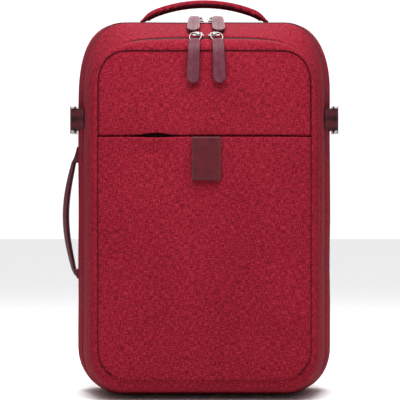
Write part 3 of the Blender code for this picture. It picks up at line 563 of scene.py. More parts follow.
def droop(piece):
    """Lowers the top of the lid and the pocket a little away from the middle, as soft cloth hangs."""
    for v in piece.data.vertices:
        x, y, z = v.co
        rise = min(max((z - DROOP_FROM) / (POCKET.high - DROOP_FROM), 0.0), 1.0)
        forward = min(max((MAIN_ZIP_Y - 0.008 - y) / (MAIN_ZIP_Y - POCKET_ZIP_Y - 0.012), 0.0), 1.0)
        front = min(max((POCKET_ZIP_Y - y) / (POCKET_ZIP_Y - SEAM_Y), 0.0), 1.0)
        at_zip = DROOP_ZIP * (min(abs(x), 0.100) / 0.094) ** 3.5
        v.co.z -= rise * forward * ((1 - front) * at_zip + front * DROOP_SEAM)


# %% Rear shell, front bottom lip, lid strip
TAPE_SHOWS = 0.0022  # the cloth behind each zip stops short and leaves some tape open to view


def loop_walk(ring):
    up = ring.arch(ring.low + ring.bottom[1] + 0.002)
    under = ring.cup(ring.low + ring.bottom[1])
    return up + under


rear_shell = strip("rear_shell", depth_rows(BACK_Y, MAIN_ZIP_Y + ZIP_HALF + TAPE_SHOWS, False, True, 0.0035),
                   loop_walk, (RED, LINING), loop=True)
settle(rear_shell, "root",
       ("rear_gusset_left", "rear_gusset_right", "rear_gusset_top", "bottom_panel"))
lip_rows = depth_rows(MAIN_ZIP_Y + ZIP_HALF + TAPE_SHOWS - EDGE, SEAM_Y, False, False, 0.003)
front_lip = strip("front_lip", lip_rows, lambda r: r.cup(LID_FOLD_Z - EDGE), (RED, LINING), soft=0.0003)
settle(front_lip, "root", ("front_bottom_lip",))
lid_rows = depth_rows(MAIN_ZIP_Y - ZIP_HALF, POCKET_ZIP_Y + ZIP_HALF + TAPE_SHOWS, True, True)
lid_strip = strip("lid_strip", lid_rows, lambda r: r.arch(LID_FOLD_Z), (RED, LINING))
droop(lid_strip)
settle(lid_strip, "lid", ("lid_gusset_left", "lid_gusset_right", "lid_gusset_top"))
print("rear shell", len(rear_shell.data.polygons), "faces")


# %% [markdown]
# Below the ends of the pocket's zip the side is plain. A short strip fills the zip's width there, and its
# folded top edge is where the zip stops.

# %% Plain strips under the zip's ends
FILLER_COLUMNS = 24  # every row needs the same count, though its outline turns at another height


for word, side in SIDES:
    def plain_walk(ring, side=side):
        up = [p for p in ring.right(LID_FOLD_Z, 40) if p[1] < POCKET_FOLD_Z - 0.002][:FILLER_COLUMNS]
        return [(side * x, z) for x, z in up] + [(side * ring.half, POCKET_FOLD_Z)]

    filler_rows = depth_rows(POCKET_ZIP_Y + ZIP_HALF - EDGE, POCKET_ZIP_Y - ZIP_HALF + EDGE, False, False,
                             0.002)
    filler = strip(f"zip_end_strip_{word}", filler_rows, plain_walk, (RED, LINING), soft=0.0003)
    settle(filler, "lid", (f"lid_gusset_lower_{word}",))

# %% [markdown]
# The rounded rim between the pocket's zip and the front panel creases where the pocket folds open; it is
# put on neither body and keeps the shape it is built in.

# %% Rim
rim_rows = depth_rows(POCKET_ZIP_Y - ZIP_HALF, SEAM_Y + 0.0006, True, True, 0.0013, 0.0018, 0.0017)
rim = strip("pocket_rim", rim_rows, lambda r: r.arch(LID_FOLD_Z), (RED, LINING), soft=0.0004)
droop(rim)
settle(rim, None, ("pocket_gusset_left", "pocket_gusset_right", "pocket_gusset_top"))
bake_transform(rim)

# %% [markdown]
# ## Front panel
# Two pieces of cloth. The upper one runs down behind the slip pocket; the lower one starts at the pocket's
# mouth with a folded edge, hangs a little slack beside the tab, and goes on to the bottom seam.

# %% Front panel
SLACK_X, SLACK_HALF, SLACK_DIP, SLACK_OUT, SLACK_RISE = -0.057, 0.034, 0.0009, 0.0016, 0.0038


def slack(x):
    """How slack the mouth is: a single soft dip left of the tab."""
    return math.exp(-((x - SLACK_X) / (0.55 * SLACK_HALF)) ** 2)


FACE = SEAM.inset(0.0008)
MOUTH_GAP = 0.0013
upper_panel = panel("front_panel_upper_cloth", FACE, SLIT_Z + MOUTH_GAP, FACE.high, upper_face, 0.0022,
                    (RED, LINING))
for v in upper_panel.data.vertices:  # the folded lower edge bows up beside the tab
    near = math.exp(-((v.co.z - SLIT_Z) / 0.016) ** 2)
    v.co.z += SLACK_RISE * slack(v.co.x) * near
    v.co.y -= 0.0016 * near * swell(v.co.x, v.co.z)
    fold = max(0.0, 1 - (v.co.z - SLIT_Z - MOUTH_GAP) / 0.0020)
    v.co.y += 0.0012 * fold * fold
droop(upper_panel)
settle(upper_panel, "pocket_flap", ("front_panel_upper",))
# A real pocket lining, darkened nearly black as painted shade, seen through the mouth above the lower panel.
pocket_lining_shade = panel("slip_pocket_lining", FACE.inset(0.004), POCKET_FOLD_Z + 0.012, SLIT_Z + 0.016,
                      lambda x, z: upper_face(x, z) + 0.0034, 0.0010, (POCKET_SHADE_CLOTH,), columns=30,
                      row_step=0.01, edge_drop=0.0)
settle(pocket_lining_shade, "pocket_flap")
lower_panel = panel("front_panel_lower_cloth", FACE, FACE.low, SLIT_Z, lower_face, 0.0018, (RED, LINING))
for v in lower_panel.data.vertices:
    x, y, z = v.co
    below = SLIT_Z - z
    v.co.z -= SLACK_DIP * slack(x) * math.exp(-(below / 0.030) ** 2)
    v.co.y += -SLACK_OUT * slack(x) * math.exp(-(below / 0.010) ** 2)
    v.co.y += 0.0016 * slack(x * 0.8 - 0.014) * math.exp(-((below - 0.018) / 0.011) ** 2)
    fold = max(0.0, 1 - below / 0.0022)
    v.co.y += 0.0009 * fold * fold
settle(lower_panel, None, ("front_panel_lower", "slip_pocket_front"))
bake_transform(lower_panel)
print("front panel", len(lower_panel.data.polygons), "faces")


# %% [markdown]
# ## Zips
# A coil zip is two woven tapes, each with a row of nylon loops along its edge. The loops repeat along a path,
# so Geometry Nodes set one tooth at each step along a curve that follows the outline.

# %% Zip tapes
def tape(name, y0, y1, low, body, node, sink):
    made = strip(name, depth_rows(y0, y1, False, False, 0.0012), lambda r: r.arch(low), (TAPE,),
                 wall=0.0010, soft=0.0, sink=sink)
    droop(made)
    settle(made, body, (node,))


for name, zip_y, low, bodies in ZIPS:
    tape(f"{name}_tape_rear", zip_y + ZIP_HALF + TAPE_SHOWS - EDGE, zip_y + 0.0001, low, bodies[0],
         f"{name}_zip_tape_rear", 0.0010)
    tape(f"{name}_tape_front", zip_y - 0.0001, zip_y - ZIP_HALF + EDGE, low, bodies[1],
         f"{name}_zip_tape_front", ZIP_SINK)


# %% A Geometry Nodes tree that repeats a piece along a curve
def repeat_tree(name):
    """Inputs: the path, the piece to repeat, the spacing in metres and the material."""
    tree = bpy.data.node_groups.new(name, "GeometryNodeTree")
    face = tree.interface
    face.new_socket("Path", in_out="INPUT", socket_type="NodeSocketGeometry")
    face.new_socket("Piece", in_out="INPUT", socket_type="NodeSocketObject")
    spacing = face.new_socket("Spacing", in_out="INPUT", socket_type="NodeSocketFloat")
    spacing.default_value = 0.002
    face.new_socket("Finish", in_out="INPUT", socket_type="NodeSocketMaterial")
    face.new_socket("Geometry", in_out="OUTPUT", socket_type="NodeSocketGeometry")
    given = tree.nodes.new("NodeGroupInput").outputs
    points = add(tree, "GeometryNodeCurveToPoints", {"mode": "LENGTH"}, Curve=given["Path"],
                 Length=given["Spacing"])
    shape = add(tree, "GeometryNodeObjectInfo", Object=given["Piece"])
    placed = add(tree, "GeometryNodeInstanceOnPoints", Points=points.outputs["Points"],
                 Instance=shape.outputs["Geometry"], Rotation=points.outputs["Rotation"])
    real = add(tree, "GeometryNodeRealizeInstances", Geometry=placed.outputs["Instances"])
    done = add(tree, "GeometryNodeSetMaterial", Geometry=real.outputs["Geometry"], Material=given["Finish"])
    out = tree.nodes.new("NodeGroupOutput")
    tree.links.new(done.outputs["Geometry"], out.inputs["Geometry"])
    return tree


REPEAT = repeat_tree("repeat along a path")


def bevelled(name, low, high, edge, segments):
    """A box between two corners, its edges rounded."""
    bm = bmesh.new()
    bmesh.ops.create_cube(bm, size=1.0)
    for v in bm.verts:
        v.co = Vector((low[k] + high[k]) / 2 + v.co[k] * (high[k] - low[k]) for k in range(3))
    bmesh.ops.bevel(bm, geom=bm.edges[:], offset=edge, segments=segments, affect="EDGES", profile=0.6)
    return kept(name, bm)


def small_block(name, size, bevel):
    """One tooth or stitch at the origin: size along x, y, z, where z is the path's direction."""
    mesh = bevelled(name, [-side / 2 for side in size], [side / 2 for side in size], bevel, 1)
    return bpy.data.objects.new(name, mesh)


def repeat_along(name, points, piece, spacing, look):
    """Runs the tree on a poly curve through points and returns a plain mesh object."""
    curve = bpy.data.curves.new(name, "CURVE")
    curve.dimensions = "3D"
    curve.twist_mode = "MINIMUM"
    spline = curve.splines.new("POLY")
    spline.points.add(len(points) - 1)
    for k, p in enumerate(points):
        spline.points[k].co = (*p, 1.0)
    holder = link(name + "_path", curve)
    modifier = holder.modifiers.new("repeat", "NODES")
    modifier.node_group = REPEAT
    names = {s.name: s.identifier for s in REPEAT.interface.items_tree if s.in_out == "INPUT"}
    modifier[names["Piece"]] = piece
    modifier[names["Spacing"]] = spacing
    modifier[names["Finish"]] = look
    mesh = applied(holder)
    bpy.data.objects.remove(holder, do_unlink=True)
    rounded(mesh, 40)
    return link(name, mesh)


# %% Coil teeth
COIL_PITCH = 0.0019
TOOTH = small_block("coil_tooth", (0.0015, 0.0015, 0.0011), 0.0003)


def outline_path(y, low, inset):
    return [(x, y, z) for x, z in ring_at(y).inset(inset).arch(low)]


for name, zip_y, low, bodies in ZIPS:
    for word, way, body in zip(("rear", "front"), (1, -1), bodies):
        row = repeat_along(f"{name}_coil_{word}",
                           outline_path(zip_y + way * 0.00085, low + 0.002, ZIP_SINK - 0.0006),
                           TOOTH, COIL_PITCH, COIL)
        droop(row)
        settle(row, body)
print("teeth", len(row.data.polygons), "faces on the last row")


# %% [markdown]
# ## Straps, leather strips and tubes
# Webbing, pullers, the tab, the grip and the shoulder straps are all a flat section carried along a curve.
# One helper makes them; it also keeps the frame along the curve, so stitches can follow a strap's edge.

# %% A flat section carried along a curve
def smooth(points, step, ends=0.0):
    """A Catmull-Rom curve through the points in near-equal steps, finer for the last `ends` metres."""
    p = [Vector(q) for q in points]
    p = [2 * p[0] - p[1]] + p + [2 * p[-1] - p[-2]]
    fine = []
    for a, b, c, d in zip(p, p[1:], p[2:], p[3:]):
        for k in range(16):
            t = k / 16
            fine.append(0.5 * (2 * b + (c - a) * t + (2 * a - 5 * b + 4 * c - d) * t ** 2
                               + (3 * b - a - 3 * c + d) * t ** 3))
    fine.append(p[-2])
    s = lengths(fine)
    total = s[-1]
    where = set(np.linspace(ends, total - ends, max(int((total - 2 * ends) / step), 2) + 1).tolist())
    for k in range(7):
        e = ends * (1 - math.cos(math.pi / 2 * k / 6))
        where |= {e, total - e}
    where = sorted(where)
    where = [w for n, w in enumerate(where) if n == 0 or w - where[n - 1] > 1e-6]
    return np.array(where), np.stack([np.interp(where, s, [f[k] for f in fine]) for k in range(3)], 1)


def strap(name, points, width, thick, across, looks, step=0.004, ends=None, corner=(0.0, 0.0), crown=0.0,
          flats=8, bend=3, roll=0.9):
    """A closed strip: width and thick may be lists spread along it; looks are (face, edge)."""
    width, thick = np.atleast_1d(width).astype(float), np.atleast_1d(thick).astype(float)
    ends = float(thick.max() / 2) if ends is None else ends
    reach = max(ends, *corner)
    along, centre = smooth(points, step, reach)
    total = along[-1]
    share = along / total
    half = np.interp(share, np.linspace(0, 1, len(width)), width) / 2
    high = np.interp(share, np.linspace(0, 1, len(thick)), thick) / 2
    tangent = np.gradient(centre, axis=0)
    tangent /= np.linalg.norm(tangent, axis=1)[:, None]
    side = np.array(across, float) - (tangent @ np.array(across, float))[:, None] * tangent
    side /= np.linalg.norm(side, axis=1)[:, None]
    up = np.cross(side, tangent)
    rows, cloth = [], []
    for k in range(len(along)):
        near, far = along[k], total - along[k]
        h, w = high[k], half[k]
        for gap, c in ((near, corner[0]), (far, corner[1])):
            if ends and gap < ends:
                h *= max(math.sqrt(max(1 - (1 - gap / ends) ** 2, 0.0)), 0.08)
            if c and gap < c:
                w -= c * (1 - math.sqrt(max(1 - (1 - gap / c) ** 2, 0.0))) * 0.999
        w = max(w, 0.0004)
        r = min(h * roll, w * 0.5)
        ring = []
        for sign in (1, -1):
            ring += [(sign * (w - r) * (1 - 2 * i / flats), sign * h) for i in range(flats + 1)]
            for i in range(1, bend * 2):
                a = math.pi * i / (bend * 2)
                ring.append((-sign * (w - r) - sign * r * math.sin(a), sign * h * math.cos(a)))
        swell_of = [crown * (1 - min(abs(a) / w, 1) ** 2.5) * (1 if b > 0 else 0) for a, b in ring]
        rows.append([centre[k] + side[k] * a + up[k] * (b + s) for (a, b), s in zip(ring, swell_of)])
        cloth.append([(a, along[k]) for a, b in ring])
    grid = np.array(rows)
    rings, count = grid.shape[:2]
    faces, kinds = [], []
    for i in range(rings - 1):
        for j in range(count):
            m = (j + 1) % count
            faces.append((i * count + j, i * count + m, (i + 1) * count + m, (i + 1) * count + j))
            turn = j % (count // 2)
            kinds.append(1 if turn >= flats else 0)
    faces += [tuple(range(count))[::-1], tuple((rings - 1) * count + j for j in range(count))]
    kinds += [1, 1]
    mesh = shape(name, grid.reshape(-1, 3).tolist(), faces, looks, kinds)
    cloth_map(mesh, cloth)
    mesh.update()
    outward(mesh)

    def place(s, a, lift=0.0):
        """The point s metres along, a metres across, lift above the face."""
        k = [np.interp(s, along, v) for v in (*centre.T, *side.T, *up.T, high)]
        c, d, u = np.array(k[0:3]), np.array(k[3:6]), np.array(k[6:9])
        return c + d * a + u * (k[9] + lift)

    return link(name, mesh), place, total


def outward(mesh, angle=40):
    """Faces outwards, smooth, sharp only at real corners."""
    middle = sum((v.co for v in mesh.vertices), Vector()) / len(mesh.vertices)
    total = sum(p.area * p.normal.dot(p.center - middle) for p in mesh.polygons)
    if total < 0:
        mesh.flip_normals()
    rounded(mesh, angle)


def all_outward(mesh):
    """Recalculates every face's direction on a closed mesh."""
    bm = bmesh.new()
    bm.from_mesh(mesh)
    bmesh.ops.recalc_face_normals(bm, faces=bm.faces)
    bm.to_mesh(mesh)
    bm.free()


def rod(name, path, radius, look, closed=False, sides=10, face=(1, 0, 0)):
    """A round bar along a path; closed makes a ring. UV runs round it and along it in metres."""
    pts = np.array([list(p) for p in path], float)
    n = len(pts)
    nxt = np.roll(pts, -1, 0) - np.roll(pts, 1, 0) if closed else np.gradient(pts, axis=0)
    tangent = nxt / np.linalg.norm(nxt, axis=1)[:, None]
    fixed = np.array(face, float)
    side = fixed - (tangent @ fixed)[:, None] * tangent
    side /= np.linalg.norm(side, axis=1)[:, None]
    up = np.cross(tangent, side)
    radii = np.broadcast_to(np.asarray(radius, float), (n,))
    along = lengths(pts)
    verts, cloth = [], []
    for k in range(n):
        for j in range(sides):
            a = 2 * math.pi * j / sides
            verts.append(pts[k] + radii[k] * (side[k] * math.cos(a) + up[k] * math.sin(a)))
            cloth.append((radii[k] * a, along[k]))
    faces = []
    for k in range(n if closed else n - 1):
        m = (k + 1) % n
        for j in range(sides):
            i = (j + 1) % sides
            faces.append((k * sides + j, k * sides + i, m * sides + i, m * sides + j))
    if not closed:
        faces += [tuple(range(sides))[::-1], tuple((n - 1) * sides + j for j in range(sides))]
    mesh = shape(name, [list(v) for v in verts], faces, (look,))
    cloth_map(mesh, cloth)
    mesh.update()
    all_outward(mesh)
    rounded(mesh, 50)
    return link(name, mesh)


def join(name, pieces):
    """Several meshes as one object, materials kept."""
    mesh = bpy.data.meshes.new(name)
    bm = bmesh.new()
    looks = []
    for piece in pieces:
        start = len(bm.faces)
        bm.from_mesh(piece.data)
        bm.faces.ensure_lookup_table()
        kinds = [looks.index(m) if m in looks else (looks.append(m) or len(looks) - 1)
                 for m in piece.data.materials]
        for f in bm.faces[start:]:
            f.material_index = kinds[min(f.material_index, len(kinds) - 1)]
    bm.to_mesh(mesh)
    bm.free()
    for look in looks:
        mesh.materials.append(look)
    for piece in pieces:
        bpy.data.objects.remove(piece, do_unlink=True)
    return link(name, mesh)


# %% A stitch, and a moulded block with rounded edges
STITCH = small_block("stitch", (0.00055, 0.00055, 0.0026), 0.00018)
STITCH_PITCH = 0.0036


def rounded_block(name, low, high, edge, look, segments=3):
    mesh = bevelled(name, low, high, edge, segments)
    mesh.materials.append(look)
    rounded(mesh, 50)
    return link(name, mesh)


# %% Painted shade: a dark cord in the seam round the front panel stands in for the seam's shadow
seam_shade_path = [(x, SEAM_Y - 0.0002, z) for x, z in SEAM.inset(0.0004).arch(LID_FOLD_Z)]
seam_shade_cord = rod("front_seam_cord", seam_shade_path, 0.00065, TAPE, sides=6, face=(0, 1, 0))
droop(seam_shade_cord)
settle(seam_shade_cord, None)
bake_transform(seam_shade_cord)


# %% [markdown]
# ## Sliders and pullers
# Each slider is a small die-cast body with a bridge over it. A wire ring hangs on the bridge and holds two
# layers of leather, sewn together down the middle. The ring and the leather lift together.

# %% Sliders, rings and pullers
ROUTES = {"main": ((0.0084, 0.0070), (0.0180, 0.0022), (0.0330, -0.0060), (0.0478, -0.0134)),
          "pocket": ((0.0155, -0.0004), (0.0225, -0.0071), (0.0265, -0.0176), (0.0275, -0.0336),
                     (0.0275, -0.0529))}
ZIP_TOPS = {"main": (MAIN_ZIP_Y, MAIN.high - ZIP_SINK), "pocket": (POCKET_ZIP_Y, POCKET.high - ZIP_SINK)}
PULLER_LEAN = 0.0022


def wire_ring(name, centre, across, way, half_width, half_length, wire=0.00075):
    """A flat oval of wire: half_width along `across`, half_length along `way`."""
    across, way = Vector(across), Vector(way).normalized()
    path = [Vector(centre) + across * half_width * math.copysign(abs(math.cos(t)) ** 0.8, math.cos(t))
            + way * half_length * math.copysign(abs(math.sin(t)) ** 0.8, math.sin(t))
            for t in np.linspace(0, 2 * math.pi, 40, endpoint=False)]
    return rod(name, path, wire, NICKEL, closed=True, sides=8, face=tuple(across.cross(way)))


def zip_pull(name, word, side):
    slider, puller = f"{name}_slider_{word}", f"{name}_puller_{word}"
    zip_y, zip_top = ZIP_TOPS[name]
    low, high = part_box(slider)
    x, y, base, top = (low[0] + high[0]) / 2, (low[1] + high[1]) / 2, low[2], high[2]
    plate = rounded_block(slider + "_plate", (low[0], low[1], base), (high[0], high[1], base + 0.0016),
                          0.0007, NICKEL)
    for v in plate.data.vertices:  # waisted, as a slider is between its two channels
        t = (v.co.x - low[0]) / (high[0] - low[0])
        t = t if side > 0 else 1 - t
        v.co.y = y + (v.co.y - y) * (0.62 + 0.38 * min(1.0, abs(t - 0.35) * 2.6))
    knees = [(high[0] - 0.0014, y, base + 0.0014), (high[0] - 0.0024, y, top - 0.0009), (x, y, top - 0.0007),
             (low[0] + 0.0024, y, top - 0.0009), (low[0] + 0.0014, y, base + 0.0014)]
    bridge = rod(slider + "_bridge", smooth(knees, 0.0009)[1], 0.0007, NICKEL, sides=8, face=(0, 1, 0))
    settle(join(slider + "_metal", [plate, bridge]), slider, (slider,))

    low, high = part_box(puller)
    width = 0.0156
    middle = (low[0] + high[0]) / 2
    points = ROUTES[name]
    route = [(middle + side * PULLER_LEAN * (k / (len(points) - 1) - 0.5), zip_y - forward, zip_top + up)
             for k, (forward, up) in enumerate(points)]
    leather, place, total = strap(puller + "_leather", route, (width * 0.88, width * 0.94, width, width),
                                  0.0026, (-1, 0, 0), (LEATHER, LEATHER_EDGE), step=0.002,
                                  corner=(0.0055, width / 2), flats=10)
    seam_line = [(total * (0.24 if name == "pocket" else 0.30), 0.0), (total - 0.0068, 0.0)]
    stitched_line(puller + "_stitches", seam_line, place, puller, look=DARK_THREAD)
    first = Vector(place(0.0030, 0.0, -0.0013))
    bar = Vector((first.x - side * 0.0024, y - 0.0030, top - 0.0006))
    way = bar - first
    ring = wire_ring(puller + "_ring", first + way * 0.5, (1, 0, 0), way, 0.0068, way.length / 2 + 0.0012)
    hook = wire_ring(puller + "_hook", Vector((x, y - 0.0022, top - 0.0010)), (1, 0, 0), (0, -1, -0.25),
                     0.0030, 0.0032, 0.0007)
    settle(leather, puller, (puller,))
    settle(join(puller + "_rings", [ring, hook]), puller)


def stitched_line(name, corners, place, body, lift=0.00005, look=None):
    """Stitches along straight runs between (along, across) corners on a strap."""
    dense = []
    for (s0, a0), (s1, a1) in zip(corners, corners[1:]):
        n = max(int(math.hypot(s1 - s0, a1 - a0) / 0.001), 1)
        dense += [(s0 + (s1 - s0) * k / n, a0 + (a1 - a0) * k / n) for k in range(n)]
    dense.append(corners[-1])
    made = repeat_along(name, [place(s, a, lift) for s, a in dense], STITCH, STITCH_PITCH, look or THREAD)
    settle(made, body)


for name in ("main", "pocket"):
    for word, side in SIDES:
        zip_pull(name, word, side)


# %% [markdown]
# ## Leather tab
# One thick piece of leather, sewn on three sides, closes the slip pocket with a magnet under it. Its edges
# are painted, and it stands a little proud of the cloth.

# %% Tab and its snap
TAB_LOW, TAB_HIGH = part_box("closing_tab")
tab_x, tab_y = (TAB_LOW[0] + TAB_HIGH[0]) / 2, (TAB_LOW[1] + TAB_HIGH[1]) / 2
tab_half = (TAB_HIGH[0] - TAB_LOW[0]) / 2
tab_points = [(tab_x, tab_y + 0.0002, TAB_HIGH[2]), (tab_x, tab_y - 0.0003, TAB_HIGH[2] - 0.006),
              (tab_x, tab_y, TAB_HIGH[2] - 0.034), (tab_x, tab_y + 0.0006, TAB_LOW[2])]
tab, tab_place, tab_total = strap("tab_leather", tab_points, 2 * tab_half, 0.0026, (-1, 0, 0),
                                  (TAB_LEATHER, LEATHER_EDGE), step=0.002, corner=(0.0012, 0.0040), flats=16)
settle(tab, "tab", ("closing_tab",))
SEAM_INSET, SEAM_CORNER = 0.0030, 0.0020
across, end = tab_half - SEAM_INSET, tab_total - SEAM_INSET
tab_seam = [(SEAM_INSET, -across), (end - SEAM_CORNER, -across), (end, SEAM_CORNER - across),
            (end, across - SEAM_CORNER), (end - SEAM_CORNER, across), (SEAM_INSET, across)]
stitched_line("tab_stitches", tab_seam, tab_place, "tab", look=DARK_THREAD)


def dress(node, look):
    """A CAD node keeps its shape and gets a better material."""
    mesh = frame["nodes"][node].data
    mesh.materials.clear()
    mesh.materials.append(look)


for node in ("snap_stud", "snap_socket"):
    dress(node, NICKEL)

# %% [markdown]
# ## Top handle
# A soft core in a sewn tube of the same red cloth; its seam runs underneath. Its ends go into the top in
# small bar-tacked darts.

# %% Top handle
HANDLE_LOW, HANDLE_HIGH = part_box("top_handle")
HANDLE_RADIUS = (HANDLE_HIGH[1] - HANDLE_LOW[1]) / 2
HANDLE_Y = (HANDLE_HIGH[1] + HANDLE_LOW[1]) / 2
PIVOT_Z = JOINTS["top_handle_fold"]["pos_m"][2]
HANDLE_RISE = HANDLE_HIGH[2] - HANDLE_RADIUS - PIVOT_Z
CHORD = HANDLE_HIGH[0] - 0.0022
arc_radius = (CHORD ** 2 + HANDLE_RISE ** 2) / (2 * HANDLE_RISE)
half_turn = math.asin(CHORD / arc_radius)
arc, taper = [], []
ARC_STEPS = 48
END_DROP = 0.0034  # the tube flattens and dips where it is sewn in
for k in range(ARC_STEPS + 1):
    t = half_turn * (2 * k / ARC_STEPS - 1)
    from_end = min(k, ARC_STEPS - k)
    near = math.exp(-(from_end / 3.2) ** 2)
    arc.append((arc_radius * math.sin(t) * (1 + 0.004 * near), HANDLE_Y,
                PIVOT_Z + HANDLE_RISE - arc_radius * (1 - math.cos(t)) - END_DROP * near))
    taper.append(HANDLE_RADIUS * (1 - 0.60 * math.exp(-(from_end / 2.6) ** 2) + 0.012 * math.sin(k * 2.1)))
handle = rod("top_handle_tube", arc, taper, RED, sides=20, face=(0, 1, 0))
handle.data.materials.append(TAPE)
for face in handle.data.polygons:  # the tube's downward-facing faces take the dark tape cloth: painted shade on its underside
    if face.normal.z < -0.15:
        face.material_index = 1
settle(handle, "top_handle", ("top_handle",))
seam = [(x, y, z - HANDLE_RADIUS * 0.98) for x, y, z in arc[3:-3]]
binding = rod("top_handle_seam", seam, 0.0009, BINDING, sides=8, face=(0, 1, 0))
settle(binding, "top_handle")
foot_x, patch_z = CHORD + 0.001, ring_at(HANDLE_Y).high + 0.0006
for word, side in SIDES:
    patch_path = [(side * (foot_x + d), HANDLE_Y, patch_z) for d in (-0.010, 0.0, 0.009)]
    patch = strap(f"handle_patch_{word}", patch_path, 0.016, 0.0013, (0, 1, 0), (RED, BINDING), step=0.002,
                  corner=(0.003, 0.003))[0]
    settle(patch, "root")

# %% [markdown]
# ## Side grip
# A thick leather strip over a soft core, held at both ends in sewn leather anchors. It bows out so a hand
# fits behind it.

# %% Side grip and anchors
GRIP_LOW, GRIP_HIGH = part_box("side_handle")
pivot_x = JOINTS["side_handle_swing"]["pos_m"][0]
grip_thick = 0.0068
bulge = -(GRIP_LOW[0] + grip_thick / 2) + pivot_x
grip_y = (GRIP_LOW[1] + GRIP_HIGH[1]) / 2
GRIP_STEPS = 12
GRIP_END = 0.011
bows = [math.sin(math.pi * k / GRIP_STEPS) for k in range(GRIP_STEPS + 1)]
grip_path = [(pivot_x - bulge * bow, grip_y, GRIP_LOW[2] + (GRIP_HIGH[2] - GRIP_LOW[2]) * k / GRIP_STEPS)
             for k, bow in enumerate(bows)]
TUCK = ((0.0014, 0.0030), (0.0034, 0.0080))  # how the grip's ends run on, inwards and on, inside the anchors
grip_path = ([(pivot_x + inwards, grip_y, GRIP_LOW[2] - on) for inwards, on in TUCK[::-1]] + grip_path
             + [(pivot_x + inwards, grip_y, GRIP_HIGH[2] + on) for inwards, on in TUCK])
grip_width = [GRIP_END + (GRIP_HIGH[1] - GRIP_LOW[1] - GRIP_END) * bow ** 0.6 for bow in bows]
grip_thicks = [grip_thick * (0.66 + 0.34 * bow ** 0.7) for bow in bows]
grip, grip_place, grip_total = strap("side_grip_leather", grip_path, grip_width, grip_thicks, (0, -1, 0),
                                     (GRIP_LEATHER, LEATHER_EDGE), step=0.003, flats=10, roll=0.85,
                                     ends=0.002)
settle(grip, "side_handle", ("side_handle",))
for word, edge_side in (("front", -1), ("back", 1)):
    line = []
    for k in range(3, 22):
        half = np.interp(k / 24, np.linspace(0, 1, len(grip_width)), grip_width) / 2
        line.append((grip_total * k / 24, edge_side * (half - 0.0035)))
    stitched_line(f"grip_stitches_{word}", line, grip_place, "side_handle")
for word in ("top", "bottom"):
    low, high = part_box(f"side_handle_anchor_{word}")
    anchor = rounded_block(f"grip_anchor_{word}", low, high, 0.0022, GRIP_LEATHER, 4)
    bm = bmesh.new()
    bm.from_mesh(anchor.data)
    bmesh.ops.subdivide_edges(bm, edges=bm.edges[:], cuts=2, use_grid_fill=True)
    bm.to_mesh(anchor.data)
    bm.free()
    for v in anchor.data.vertices:  # thin at the far end, thick where it holds the grip
        away = (v.co.z - low[2]) / (high[2] - low[2])
        away = away if word == "top" else 1 - away
        v.co.x = high[0] + (v.co.x - high[0]) * (0.80 - 0.62 * away ** 0.8)
    rounded(anchor.data, 50)
    settle(anchor, "root", (f"side_handle_anchor_{word}",))

# %% [markdown]
# ## Webbing and buckles
# Ribbed webbing is sewn to the cloth at one end and loops through the buckle at the other. The buckle is a
# glossy moulding: a socket, and a plug with two springy prongs.

# %% Compression webbing
LOWER_RUN = ((0.096, 0.1100, 0.156), (0.0975, 0.1100, 0.130), (0.107, 0.1060, 0.090),
             (0.118, 0.0960, 0.060), (0.124, BACK_Y + 0.0026, 0.045), (0.128, BACK_Y + 0.0018, 0.034))
for word, side in SIDES:
    low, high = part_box(f"rear_webbing_{word}")
    strap_z = (low[2] + high[2]) / 2
    wide, thin = high[2] - low[2], 0.0015
    inner, outer = sorted((abs(low[0]), abs(high[0])))
    run = ((outer - thin / 2, low[1]), (outer - thin / 2, 0.040), (inner + thin * 0.95, 0.058),
           (inner + thin * 0.5, high[1]))
    rear = strap(f"webbing_rear_{word}", [(side * x, y, strap_z) for x, y in run], wide, thin,
                 (0, 0, side), (WEBBING,), step=0.003)[0]
    settle(rear, "root", (f"rear_webbing_{word}",))
    low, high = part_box(f"front_webbing_{word}")
    inner, outer = sorted((abs(low[0]), abs(high[0])))
    run = ((inner + thin * 0.7, low[1] + 0.0006), (inner + 0.0037, low[1] + 0.008),
           (outer - 0.0016, high[1] - 0.006), (outer - thin / 2, high[1]))
    front = strap(f"webbing_front_{word}", [(side * x, y, strap_z) for x, y in run], wide, thin,
                  (0, 0, side), (WEBBING,), step=0.003)[0]
    settle(front, "lid", (f"front_webbing_{word}",))
    lower = strap(f"webbing_lower_{word}", [(side * x, y, z) for x, y, z in LOWER_RUN], 0.025, thin,
                  (1, 0, 0), (WEBBING,), step=0.004)[0]
    settle(lower, "root", (f"lower_webbing_{word}",))


# %% Buckles and ladder locks keep their frame shapes and get the moulding's finish
for word, _ in SIDES:
    for node in ("buckle_socket", "buckle_plug", "ladder_lock"):
        dress(f"{node}_{word}", ACETAL)
dress("frame_sheet", BOARD)
dress("base_board", BOARD)

# %% [markdown]
# ## The back
# The back panel is spacer mesh over foam, with three pads, two shoulder straps and a strap that slips over
# the handle of a trolley case.

# %% Back panel
INSIDE = BACK_EDGE.inset(WALL + EDGE)
back_panel = panel("back_panel_cloth", INSIDE, INSIDE.low, INSIDE.high, lambda x, z: -BACK_Y, 0.0036,
                   (MESH, LINING), columns=60, row_step=0.006)
for v in back_panel.data.vertices:  # made facing forwards: turned to face the back
    v.co.y = -v.co.y
back_panel.data.flip_normals()
settle(back_panel, "root", ("back_panel",))


# %% Lining behind the sleeve
# The stiffening sheet is sewn in behind the lining, so it doesn't show inside the bag.
sheet_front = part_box("frame_sheet")[0][1]
back_lining = panel("back_lining", INSIDE.inset(0.0025), INSIDE.low + 0.0025, INSIDE.high - 0.0025,
                    lambda x, z: sheet_front - 0.0010, 0.0006, (LINING,), columns=40, row_step=0.015,
                    edge_drop=0.0)
settle(back_lining, "root")


# %% [markdown]
# Each pad is foam sewn into mesh. We take a flat block with rounded corners, remesh it evenly, hold its back
# face, and let cloth simulation blow it up a little, as foam fills its cover. The sewn channels are pressed
# in afterwards.

